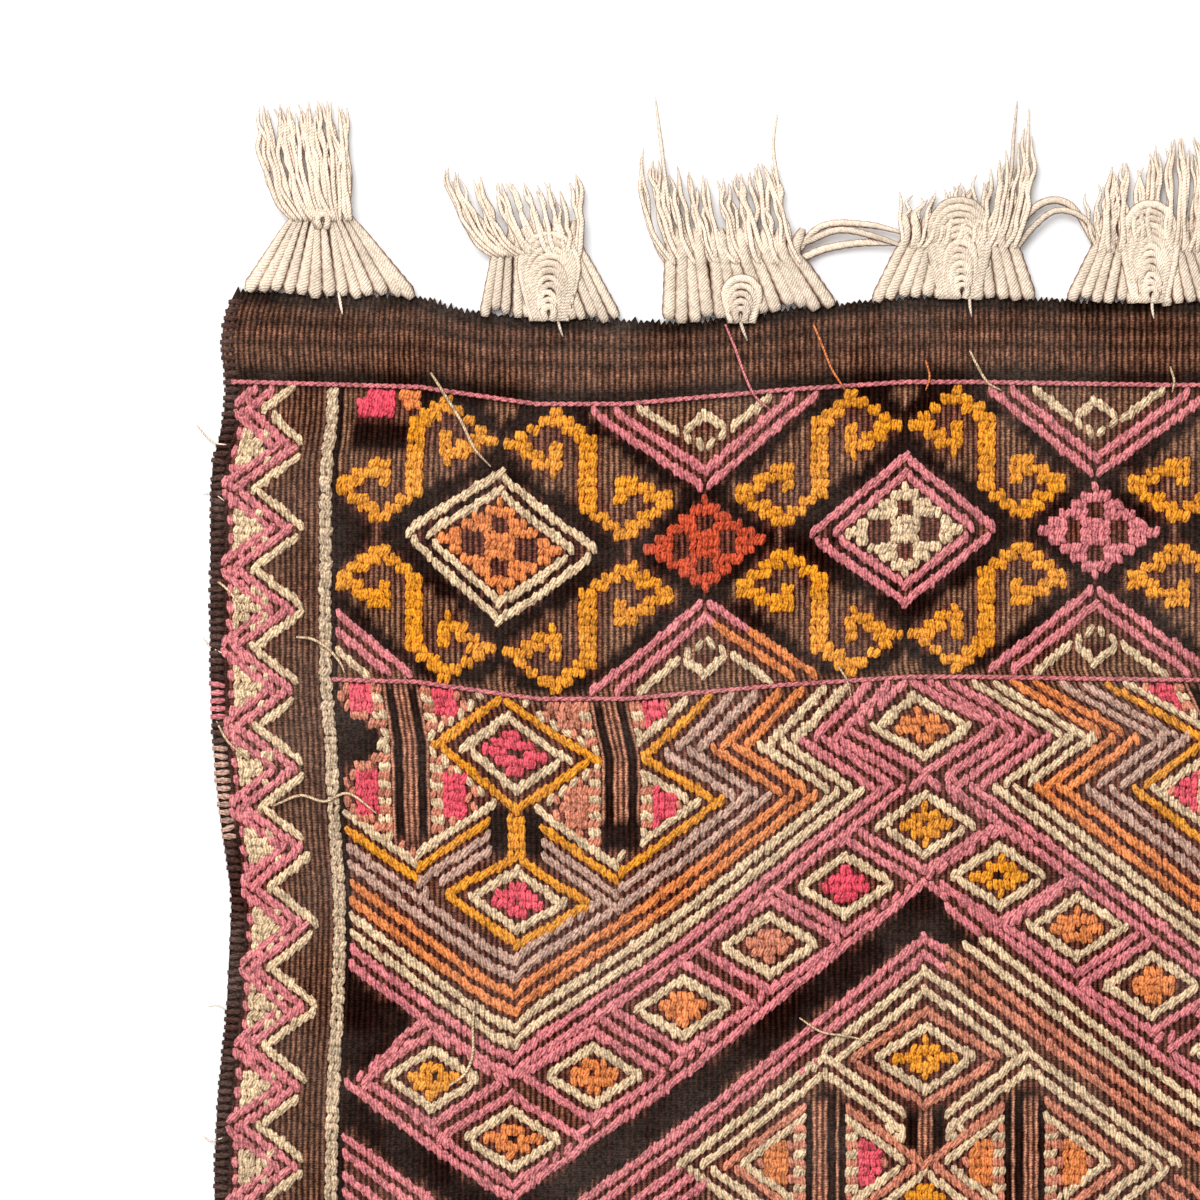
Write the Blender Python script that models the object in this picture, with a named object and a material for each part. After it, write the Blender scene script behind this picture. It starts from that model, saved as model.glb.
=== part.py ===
"""Kilim rug: a flat woven cloth whose warp ends are gathered in seven loose knots at each end.

The rug lies flat on the floor. X runs across it and Y along it, the floor is Z = 0, and the
origin lies under the middle of the cloth. The foot end is the head end turned half round.
"""

import math

import bmesh
import bpy
from mathutils import Vector

MM = 0.001  # the tables below are in millimetres

CLOTH_THICKNESS = 0.003
EDGE_ROUNDING = 0.001  # the top face stands in from the outline by this much
CLOTH_COLUMNS = 24
CLOTH_ROWS = 18

PARTING = 0.0003  # between the cloth's edge and a tassel's root strip
STRIP_WIDTH = 0.003
STRIP_HEIGHT = 0.0024
ROOT_LENGTH = 0.0015  # how far a fan strand reaches into the root strip

FAN_STRANDS = 8
BRUSH_STRANDS = 8
STRAND_STATIONS = 4
FILL = 0.80  # a strand's width, as a share of the room it has
CREST = 0.5  # a strand's width at the top, as a share of its width at the floor
TIP_TAPER = 0.5
FAN_HEIGHTS = (0.0026, 0.0040)  # at the root strip and in the knot
BRUSH_HEIGHTS = (0.0040, 0.0018)  # in the knot and at the tip
FAN_CURVE = 0.45  # how far the fan's lines bow inwards on their way to the knot
BRUSH_CURVE = 1.3  # how late the brush's lines spread
TIP_STAGGER = 0.004  # every other tip stops short by this much
LIFT = 0.0002  # strip and knot are carried by the strands, this far off the floor

KNOT_HALF_LENGTH = 0.0075
KNOT_HEIGHT = 0.0075
KNOT_SIDES = 6  # faces over the roll
KNOT_PROFILE = ((0.0, 0.62), (0.2, 0.9), (0.5, 1.0), (0.8, 0.9), (1.0, 0.62))  # place, size
KNOT_SPARE = 0.0045  # how far the knot stands out past its outermost strands
STRANDS_APART = 0.002  # a fan strand and a brush strand stop this far from the knot's middle

# The left side edge, from the head end to the foot end: (place along Y, distance out from the
# middle line). The right side is the left one turned half round.
SIDE_EDGE = (
    (457.0, 344.5),
    (447.0, 349.0),
    (430.0, 351.5),
    (410.0, 349.5),
    (388.0, 351.5),
    (370.0, 356.0),
    (325.0, 357.0),
    (262.0, 357.0),
    (228.0, 355.5),
    (192.0, 352.0),
    (152.0, 346.5),
    (102.0, 348.5),
    (52.0, 353.5),
    (0.0, 355.0),
    (-60.0, 352.0),
    (-130.0, 348.5),
    (-200.0, 351.0),
    (-270.0, 355.0),
    (-335.0, 355.5),
    (-390.0, 351.0),
    (-440.0, 348.0),
    (-457.0, 344.5),
)

# The head end's edge, from left to right: (place along X, distance from the middle).
HEAD_EDGE = (
    (-357.0, 457.5),
    (-344.5, 457.0),
    (-297.0, 454.5),
    (-255.0, 454.0),
    (-228.0, 446.5),
    (-192.0, 444.0),
    (-150.0, 442.5),
    (-117.0, 441.5),
    (-62.0, 448.5),
    (5.0, 454.0),
    (87.0, 451.5),
    (137.0, 452.0),
    (190.0, 449.5),
    (240.0, 448.0),
    (290.0, 451.5),
    (344.5, 457.0),
    (357.0, 457.5),
)

# The head end's tassels: where the fan leaves the cloth, the waist that the knot holds, and the
# tips of the brush, which follow an arc through three heights.
TASSEL_COLUMNS = (
    "fan_left",
    "fan_right",
    "waist_left",
    "waist_right",
    "waist_y",
    "tip_left",
    "tip_right",
    "left_y",
    "mid_y",
    "right_y",
)
TASSELS = (
    (-342.0, -253.0, -318.0, -282.0, 491.0, -334.0, -287.0, 541.0, 549.0, 529.0),
    (-223.0, -155.0, -216.0, -174.0, 478.0, -240.0, -178.0, 519.0, 510.0, 513.0),
    (-132.0, -48.0, -129.0, -69.0, 472.0, -143.0, -71.0, 522.0, 519.0, 527.0),
    (-25.0, 52.0, -10.0, 40.0, 490.0, -5.0, 54.0, 508.0, 515.0, 546.0),
    (70.0, 145.0, 85.0, 132.0, 491.0, 90.0, 138.0, 511.0, 528.0, 532.0),
    (173.0, 252.0, 190.0, 232.0, 486.0, 180.0, 240.0, 523.0, 538.0, 527.0),
    (265.0, 342.0, 283.0, 322.0, 490.0, 278.0, 332.0, 528.0, 545.0, 533.0),
)

# Warp ends that stray from one tassel towards its left neighbour: tassel number, then the
# points (x, y) of the line that they lie along.
STRAYS = {
    4: ((-12.2, 490.0), (-25.0, 487.5), (-42.0, 484.0), (-61.0, 480.0)),
    5: ((82.6, 492.0), (73.0, 500.0), (60.0, 500.0), (49.0, 489.0)),
}
STRAY_WIDTH = 0.007
STRAY_HEIGHT = 0.0022

GROUND_BROWN = (0.072, 0.033, 0.022, 1.0)
WARP_IVORY = (0.88, 0.77, 0.61, 1.0)


def clear_scene():
    for thing in list(bpy.data.objects):
        bpy.data.objects.remove(thing, do_unlink=True)


def wool(name, colour):
    material = bpy.data.materials.new(name)
    material.use_nodes = True
    shader = material.node_tree.nodes["Principled BSDF"]
    shader.inputs["Base Color"].default_value = colour
    shader.inputs["Roughness"].default_value = 0.95
    shader.inputs["Metallic"].default_value = 0.0
    return material


def read_edge(table, at):
    """The second column of a table at a value of the first, along a smooth curve, in metres."""
    rows = sorted(table)
    at = min(max(at / MM, rows[0][0]), rows[-1][0])
    i = max(k for k in range(len(rows) - 1) if rows[k][0] <= at)
    before, start, end, after = (rows[min(max(k, 0), len(rows) - 1)] for k in range(i - 1, i + 3))
    span = end[0] - start[0]
    leave = (end[1] - before[1]) / (end[0] - before[0]) * span
    arrive = (after[1] - start[1]) / (after[0] - start[0]) * span
    t = (at - start[0]) / span
    value = (
        (2 * t**3 - 3 * t**2 + 1) * start[1]
        + (t**3 - 2 * t**2 + t) * leave
        + (3 * t**2 - 2 * t**3) * end[1]
        + (t**3 - t**2) * arrive
    )
    return value * MM


def cloth_point(across, along, inset=0.0):
    """The plan point at across and along, each from -1 to 1, as far inside the edge as inset."""
    half_width = SIDE_EDGE[0][1] * MM
    half_length = HEAD_EDGE[1][1] * MM
    y = along * half_length
    left = -read_edge(SIDE_EDGE, y) + inset
    right = read_edge(SIDE_EDGE, -y) - inset
    x = left + (right - left) * (across + 1) / 2
    head = read_edge(HEAD_EDGE, across * half_width) - inset
    foot = -read_edge(HEAD_EDGE, -across * half_width) + inset
    return Vector((x, foot + (head - foot) * (along + 1) / 2, 0.0))


def head_corners():
    """The corners of the cloth's head edge, from left to right."""
    return [cloth_point(2 * i / CLOTH_COLUMNS - 1, 1.0) for i in range(CLOTH_COLUMNS + 1)]


def head_y(x):
    """How far out the cloth's head edge lies at x, on the straight run between two corners."""
    corners = head_corners()
    low, high = next(pair for pair in zip(corners, corners[1:]) if x <= pair[1].x)
    return mix(low.y, high.y, (x - low.x) / (high.x - low.x))


def link(name, mesh, material):
    """Puts a mesh in the scene as one object with one material."""
    if not mesh.materials:
        mesh.materials.append(material)
    thing = bpy.data.objects.new(name, mesh)
    bpy.context.scene.collection.objects.link(thing)
    return thing


def mesh_from(bm, name):
    """Turns the faces of closed bodies outwards and hands the mesh over."""
    bmesh.ops.recalc_face_normals(bm, faces=bm.faces)
    mesh = bpy.data.meshes.new(name)
    bm.to_mesh(mesh)
    bm.free()
    return mesh


def bridge(bm, rings):
    """Skins a row of closed rings and caps both ends."""
    for ring, following in zip(rings, rings[1:]):
        for k in range(len(ring)):
            after = (k + 1) % len(ring)
            bm.faces.new((ring[k], ring[after], following[after], following[k]))
    bm.faces.new(rings[0])
    bm.faces.new(rings[-1])


def make_cloth():
    """The woven cloth: a flat grid above and below, joined by a rounded wall."""
    bm = bmesh.new()

    def grid(height, inset):
        return [
            [
                bm.verts.new(
                    cloth_point(2 * i / CLOTH_COLUMNS - 1, 2 * j / CLOTH_ROWS - 1, inset)
                    + Vector((0, 0, height))
                )
                for i in range(CLOTH_COLUMNS + 1)
            ]
            for j in range(CLOTH_ROWS + 1)
        ]

    def rim(points):
        low = points[0]
        right = [row[-1] for row in points[1:]]
        high = points[-1][-2::-1]
        left = [row[0] for row in points[-2:0:-1]]
        return [*low, *right, *high, *left]

    under = grid(0.0, 0.0)
    over = grid(CLOTH_THICKNESS, EDGE_ROUNDING)
    for points in (under, over):
        for low, high in zip(points, points[1:]):
            for i in range(CLOTH_COLUMNS):
                bm.faces.new((low[i], low[i + 1], high[i + 1], high[i]))
    wall_height = Vector((0, 0, CLOTH_THICKNESS - EDGE_ROUNDING))
    foot = rim(under)
    shoulder = [bm.verts.new(v.co + wall_height) for v in foot]
    for ring, following in ((foot, shoulder), (shoulder, rim(over))):
        for k in range(len(ring)):
            after = (k + 1) % len(ring)
            bm.faces.new((ring[k], ring[after], following[after], following[k]))
    link("woven_cloth", mesh_from(bm, "woven_cloth"), wool("ground_wool", GROUND_BROWN))


def add_strand(bm, line, widths, heights, reach=Vector((0.5, 0, 0))):
    """A closed four-sided strand that lies on the floor along a line; reach is half its width."""
    rings = []
    for here, width, height in zip(line, widths, heights):
        side = reach * width
        crown = Vector((0, 0, height))
        top = here + crown
        corners = (here - side, here + side, top + side * CREST, top - side * CREST)
        rings.append([bm.verts.new(corner) for corner in corners])
    bridge(bm, rings)


def mix(start, end, share):
    return start + (end - start) * share


def arc_height(tassel, share):
    """The height of the brush's tips, on the parabola through its three given heights."""
    left = tassel["left_y"] * (2 * share - 1) * (share - 1)
    mid = tassel["mid_y"] * 4 * share * (1 - share)
    right = tassel["right_y"] * share * (2 * share - 1)
    return left + mid + right


def fan_lines(tassel):
    """The lines of the strands from the root strip to the knot."""
    lines = []
    for k in range(FAN_STRANDS):
        share = (k + 0.5) / FAN_STRANDS
        foot_x = mix(tassel["fan_left"], tassel["fan_right"], share)
        foot_y = head_y(foot_x) + PARTING + STRIP_WIDTH - ROOT_LENGTH
        top_x = mix(tassel["waist_left"], tassel["waist_right"], share)
        top_y = tassel["waist_y"] - STRANDS_APART
        line = []
        for i in range(STRAND_STATIONS):
            t = i / (STRAND_STATIONS - 1)
            drawn_in = mix(t, t * t * (3 - 2 * t), FAN_CURVE)
            line.append(Vector((mix(foot_x, top_x, drawn_in), mix(foot_y, top_y, t), 0)))
        lines.append(line)
    return lines


def brush_lines(tassel):
    """The lines of the loose ends beyond the knot."""
    lines = []
    for k in range(BRUSH_STRANDS):
        share = (k + 0.5) / BRUSH_STRANDS
        foot_x = mix(tassel["waist_left"], tassel["waist_right"], share)
        foot_y = tassel["waist_y"] + STRANDS_APART
        tip_x = mix(tassel["tip_left"], tassel["tip_right"], share)
        tip_y = arc_height(tassel, share) - TIP_STAGGER * (k % 2)
        line = []
        for i in range(STRAND_STATIONS):
            t = i / (STRAND_STATIONS - 1)
            line.append(Vector((mix(foot_x, tip_x, t**BRUSH_CURVE), mix(foot_y, tip_y, t), 0)))
        lines.append(line)
    return lines


def strand_widths(lines, k):
    """How wide strand k may be at each station, without meeting its neighbours."""
    neighbours = [lines[m] for m in (k - 1, k + 1) if 0 <= m < len(lines)]
    return [
        FILL * min(abs(other[i].x - here.x) for other in neighbours)
        for i, here in enumerate(lines[k])
    ]


def add_strands(bm, lines, heights, taper):
    for k, line in enumerate(lines):
        last = len(line) - 1
        widths = [
            width * mix(1.0, taper, i / last) for i, width in enumerate(strand_widths(lines, k))
        ]
        add_strand(bm, line, widths, [mix(*heights, i / last) for i in range(last + 1)])


def add_stray(bm, points):
    """Warp ends that lie across to the next tassel."""
    line = [Vector((x * MM, y * MM, 0)) for x, y in points]
    widths = [STRAY_WIDTH * mix(1.0, TIP_TAPER, i / (len(line) - 1)) for i in range(len(line))]
    run = (line[-1] - line[0]).normalized()
    add_strand(bm, line, widths, [STRAY_HEIGHT] * len(line), Vector((run.y, -run.x, 0)) / 2)


def add_strip(bm, tassel):
    """The narrow strip along the cloth's edge that the fan's strands grow from."""
    left, right = tassel["fan_left"], tassel["fan_right"]
    inner = [corner.x for corner in head_corners() if left < corner.x < right]
    rings = []
    for x in (left, *inner, right):
        near = head_y(x) + PARTING
        rings.append(
            [
                bm.verts.new((x, near + out, LIFT + up))
                for out, up in (
                    (0, 0),
                    (STRIP_WIDTH, 0),
                    (STRIP_WIDTH, STRIP_HEIGHT),
                    (0, STRIP_HEIGHT),
                )
            ]
        )
    bridge(bm, rings)


def add_knot(bm, tassel):
    """The loose knot: a low rounded roll across the waist, lower towards both ends."""
    left = tassel["waist_left"] - KNOT_SPARE
    right = tassel["waist_right"] + KNOT_SPARE
    rings = []
    for share, size in KNOT_PROFILE:
        ring = []
        for k in range(KNOT_SIDES + 1):
            turn = math.pi * k / KNOT_SIDES
            out = -math.cos(turn) * KNOT_HALF_LENGTH * size
            up = math.sin(turn) * KNOT_HEIGHT * size
            ring.append(bm.verts.new((mix(left, right, share), tassel["waist_y"] + out, LIFT + up)))
        rings.append(ring)
    bridge(bm, rings)


def joined(strands, backing):
    """One mesh from the strands and their backing, fused where they meet."""
    body = link("strands", strands, None)
    tool = link("backing", backing, None)
    fuse = body.modifiers.new("fuse", "BOOLEAN")
    fuse.operation = "UNION"
    fuse.solver = "EXACT"
    fuse.object = tool
    graph = bpy.context.evaluated_depsgraph_get()
    mesh = bpy.data.meshes.new_from_object(body.evaluated_get(graph))
    for thing in (body, tool):
        bpy.data.objects.remove(thing, do_unlink=True)
    return mesh


def make_tassel(number, row, material):
    """One tassel at the head end, and the same one turned half round at the foot end."""
    tassel = {key: value * MM for key, value in zip(TASSEL_COLUMNS, row)}
    strands = bmesh.new()
    add_strands(strands, fan_lines(tassel), FAN_HEIGHTS, 1.0)
    add_strands(strands, brush_lines(tassel), BRUSH_HEIGHTS, TIP_TAPER)
    if number in STRAYS:
        add_stray(strands, STRAYS[number])
    backing = bmesh.new()
    add_strip(backing, tassel)
    add_knot(backing, tassel)
    mesh = joined(mesh_from(strands, "strands"), mesh_from(backing, "backing"))
    mesh.name = f"tassel_{number}"
    mesh.materials.clear()
    link(f"head_tassel_{number}", mesh, material)
    foot = link(f"foot_tassel_{number}", mesh, material)
    foot.rotation_euler.z = math.pi


def main():
    clear_scene()
    make_cloth()
    ivory = wool("warp_wool", WARP_IVORY)
    for number, row in enumerate(TASSELS, start=1):
        make_tassel(number, row, ivory)


main()
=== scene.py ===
"""Kilim rug, dressed: ribbed ground, brocade stitches, wrapped edges, plied fringe and stage."""

import functools
import math

import bmesh
import bpy
import numpy as np
from bpy.props import FloatProperty, FloatVectorProperty, IntProperty, PointerProperty
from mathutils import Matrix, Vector


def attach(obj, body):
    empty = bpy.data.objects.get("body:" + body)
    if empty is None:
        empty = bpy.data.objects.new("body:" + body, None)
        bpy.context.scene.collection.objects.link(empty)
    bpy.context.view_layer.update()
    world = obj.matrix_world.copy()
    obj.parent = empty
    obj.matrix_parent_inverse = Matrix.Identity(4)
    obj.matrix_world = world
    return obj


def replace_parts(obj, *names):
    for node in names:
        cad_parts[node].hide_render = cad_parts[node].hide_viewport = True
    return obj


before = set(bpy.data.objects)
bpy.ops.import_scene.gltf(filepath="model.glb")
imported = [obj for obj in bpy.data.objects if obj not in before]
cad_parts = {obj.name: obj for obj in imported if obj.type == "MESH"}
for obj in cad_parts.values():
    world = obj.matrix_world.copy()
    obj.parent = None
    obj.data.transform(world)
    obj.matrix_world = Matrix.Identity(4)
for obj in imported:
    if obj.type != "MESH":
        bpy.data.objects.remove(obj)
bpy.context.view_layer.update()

bl_info = {
    "name": "Kilim Rug",
    "version": (1, 0, 0),
    "blender": (4, 5, 0),
    "location": "View3D > Sidebar > Kilim",
    "description": "Dresses a flat-woven rug with its weave, brocade, edges and fringe",
    "category": "Object",
}

MM = 0.001
CELL = 0.00585  # a stitch covers two ribs
ROW = 0.00433
RIBS_EACH_SIDE = 121
LAST_ROW = 104
HALF_WIDTH = 0.3554  # of the weave before its edges wave
EDGE_HEIGHT = 0.0012  # of the side edges' outermost warp
STITCH_SUNK = 0.0007  # how deep a stitch sits in the ground
STITCH_FULLNESS = (0.7, 0.85, 0.8)  # below 1 a stitch is fuller than a ball
LOWEST = 0.0002  # a yarn that lies on the floor is flattened there
YARN_STEP = 0.0024  # between the points of a fringe yarn
TWINE_PITCH = 0.0084
VIEW_CENTRE = (-0.1625, 0.3025)  # the middle of the picture, on the floor

# The weave's layout, in cells across from the middle and rows along from it.
PEAK = 35.0  # from a zigzag's peak to its valley, in cells, and its height in rows
BAND_TOP = 95.0
BAND_MIDDLE = 78.0
BAND_FOOT = 61.0
HEADER_START = 95.6
HEAD_END = 105.6
FIELD_EDGE = 50.4
ROW_ASPECT = 0.74  # a row's height in cells
TIP_ROW, NOTCH_ROW = 48.0, 54.0  # where the zigzags fold outwards and inwards
CENTRE_TIP_ROW = 5.0

# The border's motifs: how far each part reaches from its middle, in cells and rows added up.
LOZENGE_REACH, LOZENGE_RIM = 9.2, 11.6
SMALL_REACH, SMALL_RIM = 5.2, 7.4
HOOKS_REACH, HOOKS_END = 11.6, 21.2
HALF_LOZENGES_START = 23.6

# The field's compartments, from their middle at a zigzag's peak: their bars, their eyes, and the
# lines round a bar.
BAR_ACROSS, BAR_HALF, BAR_LENGTH = 9, 1.7, 11.8
EYE_ROW = 17.6
COMPARTMENT_LINES = ((13.5, "cream"), (15.2, "saffron"), (16.9, "taupe"), (18.6, "taupe"))
HEART_BAR = 8.6  # the bars of the compartment about the rug's middle
HEART_EYE_ROW = 17

# The side stripes: the white line's outer edge, then the zigzags, in cells at a valley.
WHITE_STRIPE = 51.4
GUARD_PERIOD = 9.2
GUARD_LINES = ((57.0, "cream"), (58.6, "pink"), (60.2, "pink"))
GUARD_EDGE = 59.5

# The left side edge: (place along Y, distance out), and the head end's: (place along X, out), in
# millimetres.
SIDE_EDGE = (
    (457.0, 344.5), (447.0, 349.0), (430.0, 351.5), (410.0, 349.5), (388.0, 351.5),
    (370.0, 356.0), (325.0, 357.0), (262.0, 357.0), (228.0, 355.5), (192.0, 352.0),
    (152.0, 346.5), (102.0, 348.5), (52.0, 353.5), (0.0, 355.0), (-60.0, 352.0),
    (-130.0, 348.5), (-200.0, 351.0), (-270.0, 355.0), (-335.0, 355.5), (-390.0, 351.0),
    (-440.0, 348.0), (-457.0, 344.5),
)
HEAD_EDGE = (
    (-357.0, 457.5), (-344.5, 457.0), (-297.0, 454.5), (-255.0, 454.0), (-228.0, 446.5),
    (-192.0, 444.0), (-150.0, 442.5), (-117.0, 441.5), (-62.0, 448.5), (5.0, 454.0),
    (87.0, 451.5), (137.0, 452.0), (190.0, 449.5), (240.0, 448.0), (290.0, 451.5),
    (344.5, 457.0), (357.0, 457.5),
)
# How far the rows sag towards the middle, in millimetres, and how far the lozenges sit off their
# even places, in cells: (cells across, amount).
ROW_SAG = (
    (-61.0, 0.0), (-59.0, 0.0), (-42.3, 2.5), (-32.0, 11.0), (-24.4, 11.0), (-10.7, 4.0),
    (0.0, 0.0), (6.4, 0.0), (23.5, 1.5), (61.0, 1.5),
)
BAND_DRIFT = (
    (-61.0, 0.0), (-51.0, -0.3), (-40.0, -1.3), (-17.5, -1.3), (0.0, -1.7), (17.5, -3.0),
    (30.0, -2.5), (45.0, -1.0), (61.0, 0.0),
)

# Other yarns in the wrapped left edge: rows from and to, yarn. The right edge is turned half round.
EDGE_PATCHES = (
    (55.5, 60.5, "pink"), (42.5, 53.5, "taupe"), (-31.0, -26.0, "pink"), (-60.0, -52.0, "taupe"),
)

# The S-shaped hook of a lozenge's upper left side, about the middle of its box: (cells, rows,
# half the stroke's width in cells).
HOOK = (
    (-2.9, -3.0, 0.6), (-2.9, -0.8, 0.55), (-6.9, -3.6, 0.5), (-3.1, -6.9, 0.5),
    (0.0, -3.9, 0.55), (0.0, 3.9, 0.5), (3.1, 6.9, 0.5), (6.9, 3.6, 0.55),
    (2.9, 0.8, 0.6), (2.9, 3.0, 0.0),
)
HOOK_PLACE = (7.5, 8.9)  # the middle of that box from the lozenge's, in cells and rows

# The field's lines, counted in rows from the zigzag through the black band's upper edge.
BLACK_BAND = (-4.4, 0.4)
HANDOVER = 1.8  # where the left lines end and the right ones start
UPPER_LINES = (
    (1.1, "pink"), (3.0, "pink"), (15.1, "pink"), (17.0, "pink"), (18.8, "cream"),
    (20.7, "cream"), (22.6, "orange"), (24.6, "orange"), (26.7, "taupe"), (28.7, "taupe"),
    (30.7, "saffron"), (32.6, "cream"),
)
LEFT_LINES = ((-5.3, "pink"), (-7.2, "pink"), (-9.2, "cream"), (-11.4, "cream"))
RIGHT_LINES = (
    (2.9, "pink"), (0.7, "cream"), (-1.5, "cream"), (-3.6, "salmon"), (-5.6, "salmon"),
    (-7.8, "cream"), (-10.0, "cream"),
)
# How far the lines wander from that count, in rows: (cells across, below the chain, above it).
FIELD_WANDER = (
    (-51.0, -1.4, -1.9), (-42.0, -1.4, -1.4), (-37.0, -1.0, -0.6), (-35.2, -0.4, 0.3),
    (-34.8, 0.2, 1.0), (-33.0, 0.2, 1.3), (-30.0, 0.2, 1.0), (-25.0, 0.2, 0.5),
    (-20.0, 0.2, 0.1), (-10.0, 0.9, 0.0), (1.7, 1.2, 0.0), (1.9, 0.1, 0.3),
    (20.0, -0.6, 0.4), (35.0, 0.0, 0.0), (51.0, 0.0, 0.0),
)
# The small diamonds: (cells across, row, yarn of the core).
CHAIN = (
    (-42.2, 14.8, "saffron"), (-35.3, 7.9, "orange"), (-28.4, 15.7, "orange"),
    (-20.7, 23.7, "orange"), (-13.3, 30.7, "salmon"), (-6.8, 37.3, "rose"),
    (0.0, 44.0, "saffron"), (6.4, 38.0, "saffron"), (13.0, 32.2, "orange"),
    (19.4, 25.5, "orange"), (26.8, 18.0, "orange"), (34.6, 9.8, "orange"),
    (42.2, 16.6, "saffron"), (0.0, 55.3, "orange"),
)
# The innermost lines at the middle compartment's left and right tips.
TIP_LINES = (
    ((-9.8, "pink"), (-11.8, "pink"), (-13.8, "pink")),
    ((-9.8, "salmon"), (-11.8, "salmon"), (-13.8, "salmon")),
)
CHAIN_FLATTEN = 0.86  # rows to a cell, along a small diamond's sides
EYE_FLATTEN = 0.84  # and along a large one's
GROUND = ("black", "brown", "tan", "umber", "header")


def fold(value, period):
    """How far a value is from the nearest whole number of periods."""
    return abs((value + period / 2) % period - period / 2)


def on(value, line, half=0.5):
    return -half <= value - line < half


def ramp(value, start, end):
    return min(max((value - start) / (end - start), 0.0), 1.0)


def side_of(across, along):
    """Which way a diamond's side leans there: 1 rises to the right, -1 falls."""
    return -1 if across * math.copysign(1, along) > 0 else 1


def line_at(level, lines, lean, turn=1):
    """The line that a level is on: its yarn, its lean and how many rows on it lies."""
    for line, yarn in lines:
        if on(level, line):
            return yarn, lean, (line - level) * turn
    return "brown", 0


def ring_at(reach, di, dj, rings, half=0.5):
    """The ring that a place is on, as line_at gives it, or None; rings are (reach, yarn)."""
    for ring, yarn in rings:
        if on(reach, ring, half) and reach - abs(dj) <= ring + 0.05:
            return yarn, side_of(di, dj), math.copysign(1, dj) * (ring - reach)
    return None


def on_hook(x, y):
    """Whether a place is on the hook's stroke."""
    for (x0, y0, wide), (x1, y1, _) in zip(HOOK, HOOK[1:]):
        run, rise = x1 - x0, (y1 - y0) * ROW_ASPECT
        px, py = x - x0, (y - y0) * ROW_ASPECT
        share = ramp(px * run + py * rise, 0.0, run * run + rise * rise)
        if math.hypot(px - share * run, py - share * rise) < wide:
            return True
    return False


def four_holes(di, dj, across, along):
    a, b = abs(di), abs(dj)
    return (on(a, across, 0.8) and b <= 1.0) or (a <= 0.8 and on(b, along, 1.1))


def lozenge(odd, di, dj):
    """The middle of the border's large lozenges."""
    ring, core = ("cream", "orange") if odd else ("pink", "cream")
    r = abs(di) + abs(dj)
    if r < 5.2:
        return ("brown", 0) if four_holes(di, dj, 2.2, 2.7) else (core, 0)
    return ring_at(r, di, dj, ((6.4, ring), (8.4, ring)), 0.55) or ("black", 0)


def half_lozenge(di, out):
    """The half lozenges along the border's edges; out counts rows from the edge."""
    lines = ((10.5, "pink"), (8.5, "pink"), (6.2, "cream" if abs(di) >= 2.4 else "brown"))
    found = ring_at(abs(di) + out, di, 1, lines)
    found = found or ring_at(abs(di) + abs(out - 4.0), di, out - 4.0, ((2.0, "cream"),), 0.6)
    if not found:
        return "brown", 0, 0
    yarn, lean, off = found
    return yarn, -lean, off


def corner(i, j):
    """The start of the border at its left end, above and beside the first hook."""
    if -48.4 < i < -44.8 and 91.7 < j < 94.2 and not (i < -47 and j > 93.5):
        return "rose", 0
    if -44.5 < i < -42.2 and j > 92.5:
        return ("orange" if j > 93.5 or i > -43.6 else "brown"), 0
    if -48.6 < i < -42.5 and 87.4 < j <= 91.7 and i + j < 48.5:
        return "black", 0
    return "brown", 0


def border(i, j):
    """The bands at both ends: lozenges, the hooks about them, and half lozenges at the edges."""
    di = (i + PEAK / 2) % PEAK - PEAK / 2
    dj = j - BAND_MIDDLE
    level = abs(di) + abs(dj)
    across = abs(dj) - abs(di)
    if level < LOZENGE_REACH:
        return lozenge(round((i - di) / PEAK) % 2, di, dj)
    si = i % PEAK - PEAK / 2
    small = abs(si) + abs(dj)
    if small < SMALL_REACH and i > -46:
        hole = four_holes(si, dj, 1.9, 2.5)
        return ("brown", 0) if hole else ("pink" if i > 0 else "rust", 0)
    if level < LOZENGE_RIM or small < SMALL_RIM:
        return "black", 0
    if across < HOOKS_REACH and level < HOOKS_END:
        if on_hook(HOOK_PLACE[0] - abs(di), abs(dj) - HOOK_PLACE[1]):
            return "saffron", 0
        if i > -42.9 or dj < 0:
            return "brown", 0
    if i < -42 and dj > 0:
        return corner(i, j)
    if across > 14.5:
        return "brown", 0
    if across > HOOKS_REACH or level < HALF_LOZENGES_START:
        return "black", 0
    yarn, lean, off = half_lozenge(si, BAND_TOP - BAND_MIDDLE - abs(dj))
    if yarn == "pink" and -17 < i < -7 and dj < 0 and (level > 25 or i > -14):
        yarn = "orange"
    up = math.copysign(1, dj)
    return (yarn, lean * up, -off * up) if lean else (yarn, 0)


def diamond(di, dj, core):
    """A small diamond with a cream ring and a pink one, or None outside."""
    r = CHAIN_FLATTEN * abs(di) + abs(dj)
    if r < 0.4:
        return "black", 0
    if r < 2.1:
        return core, 0
    if r < 5.9:
        return ring_at(r, di, dj, ((3.4, "cream"), (5.35, "pink")), 0.55) or ("brown", 0)
    return None


def chain(i, j):
    """The chain of small diamonds across the field, or None between them."""
    near = [link for link in CHAIN if abs(i - link[0]) < 7 and abs(j - link[1]) < 6]
    hits = [diamond(i - x, j - y, core) for x, y, core in near]
    hits = [hit for hit in hits if hit]
    inner = [hit for hit in hits if hit[0] not in ("pink", "brown")]
    outer = [hit for hit in hits if hit[0] == "pink"]
    return (inner + outer + hits + [None])[0]


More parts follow.
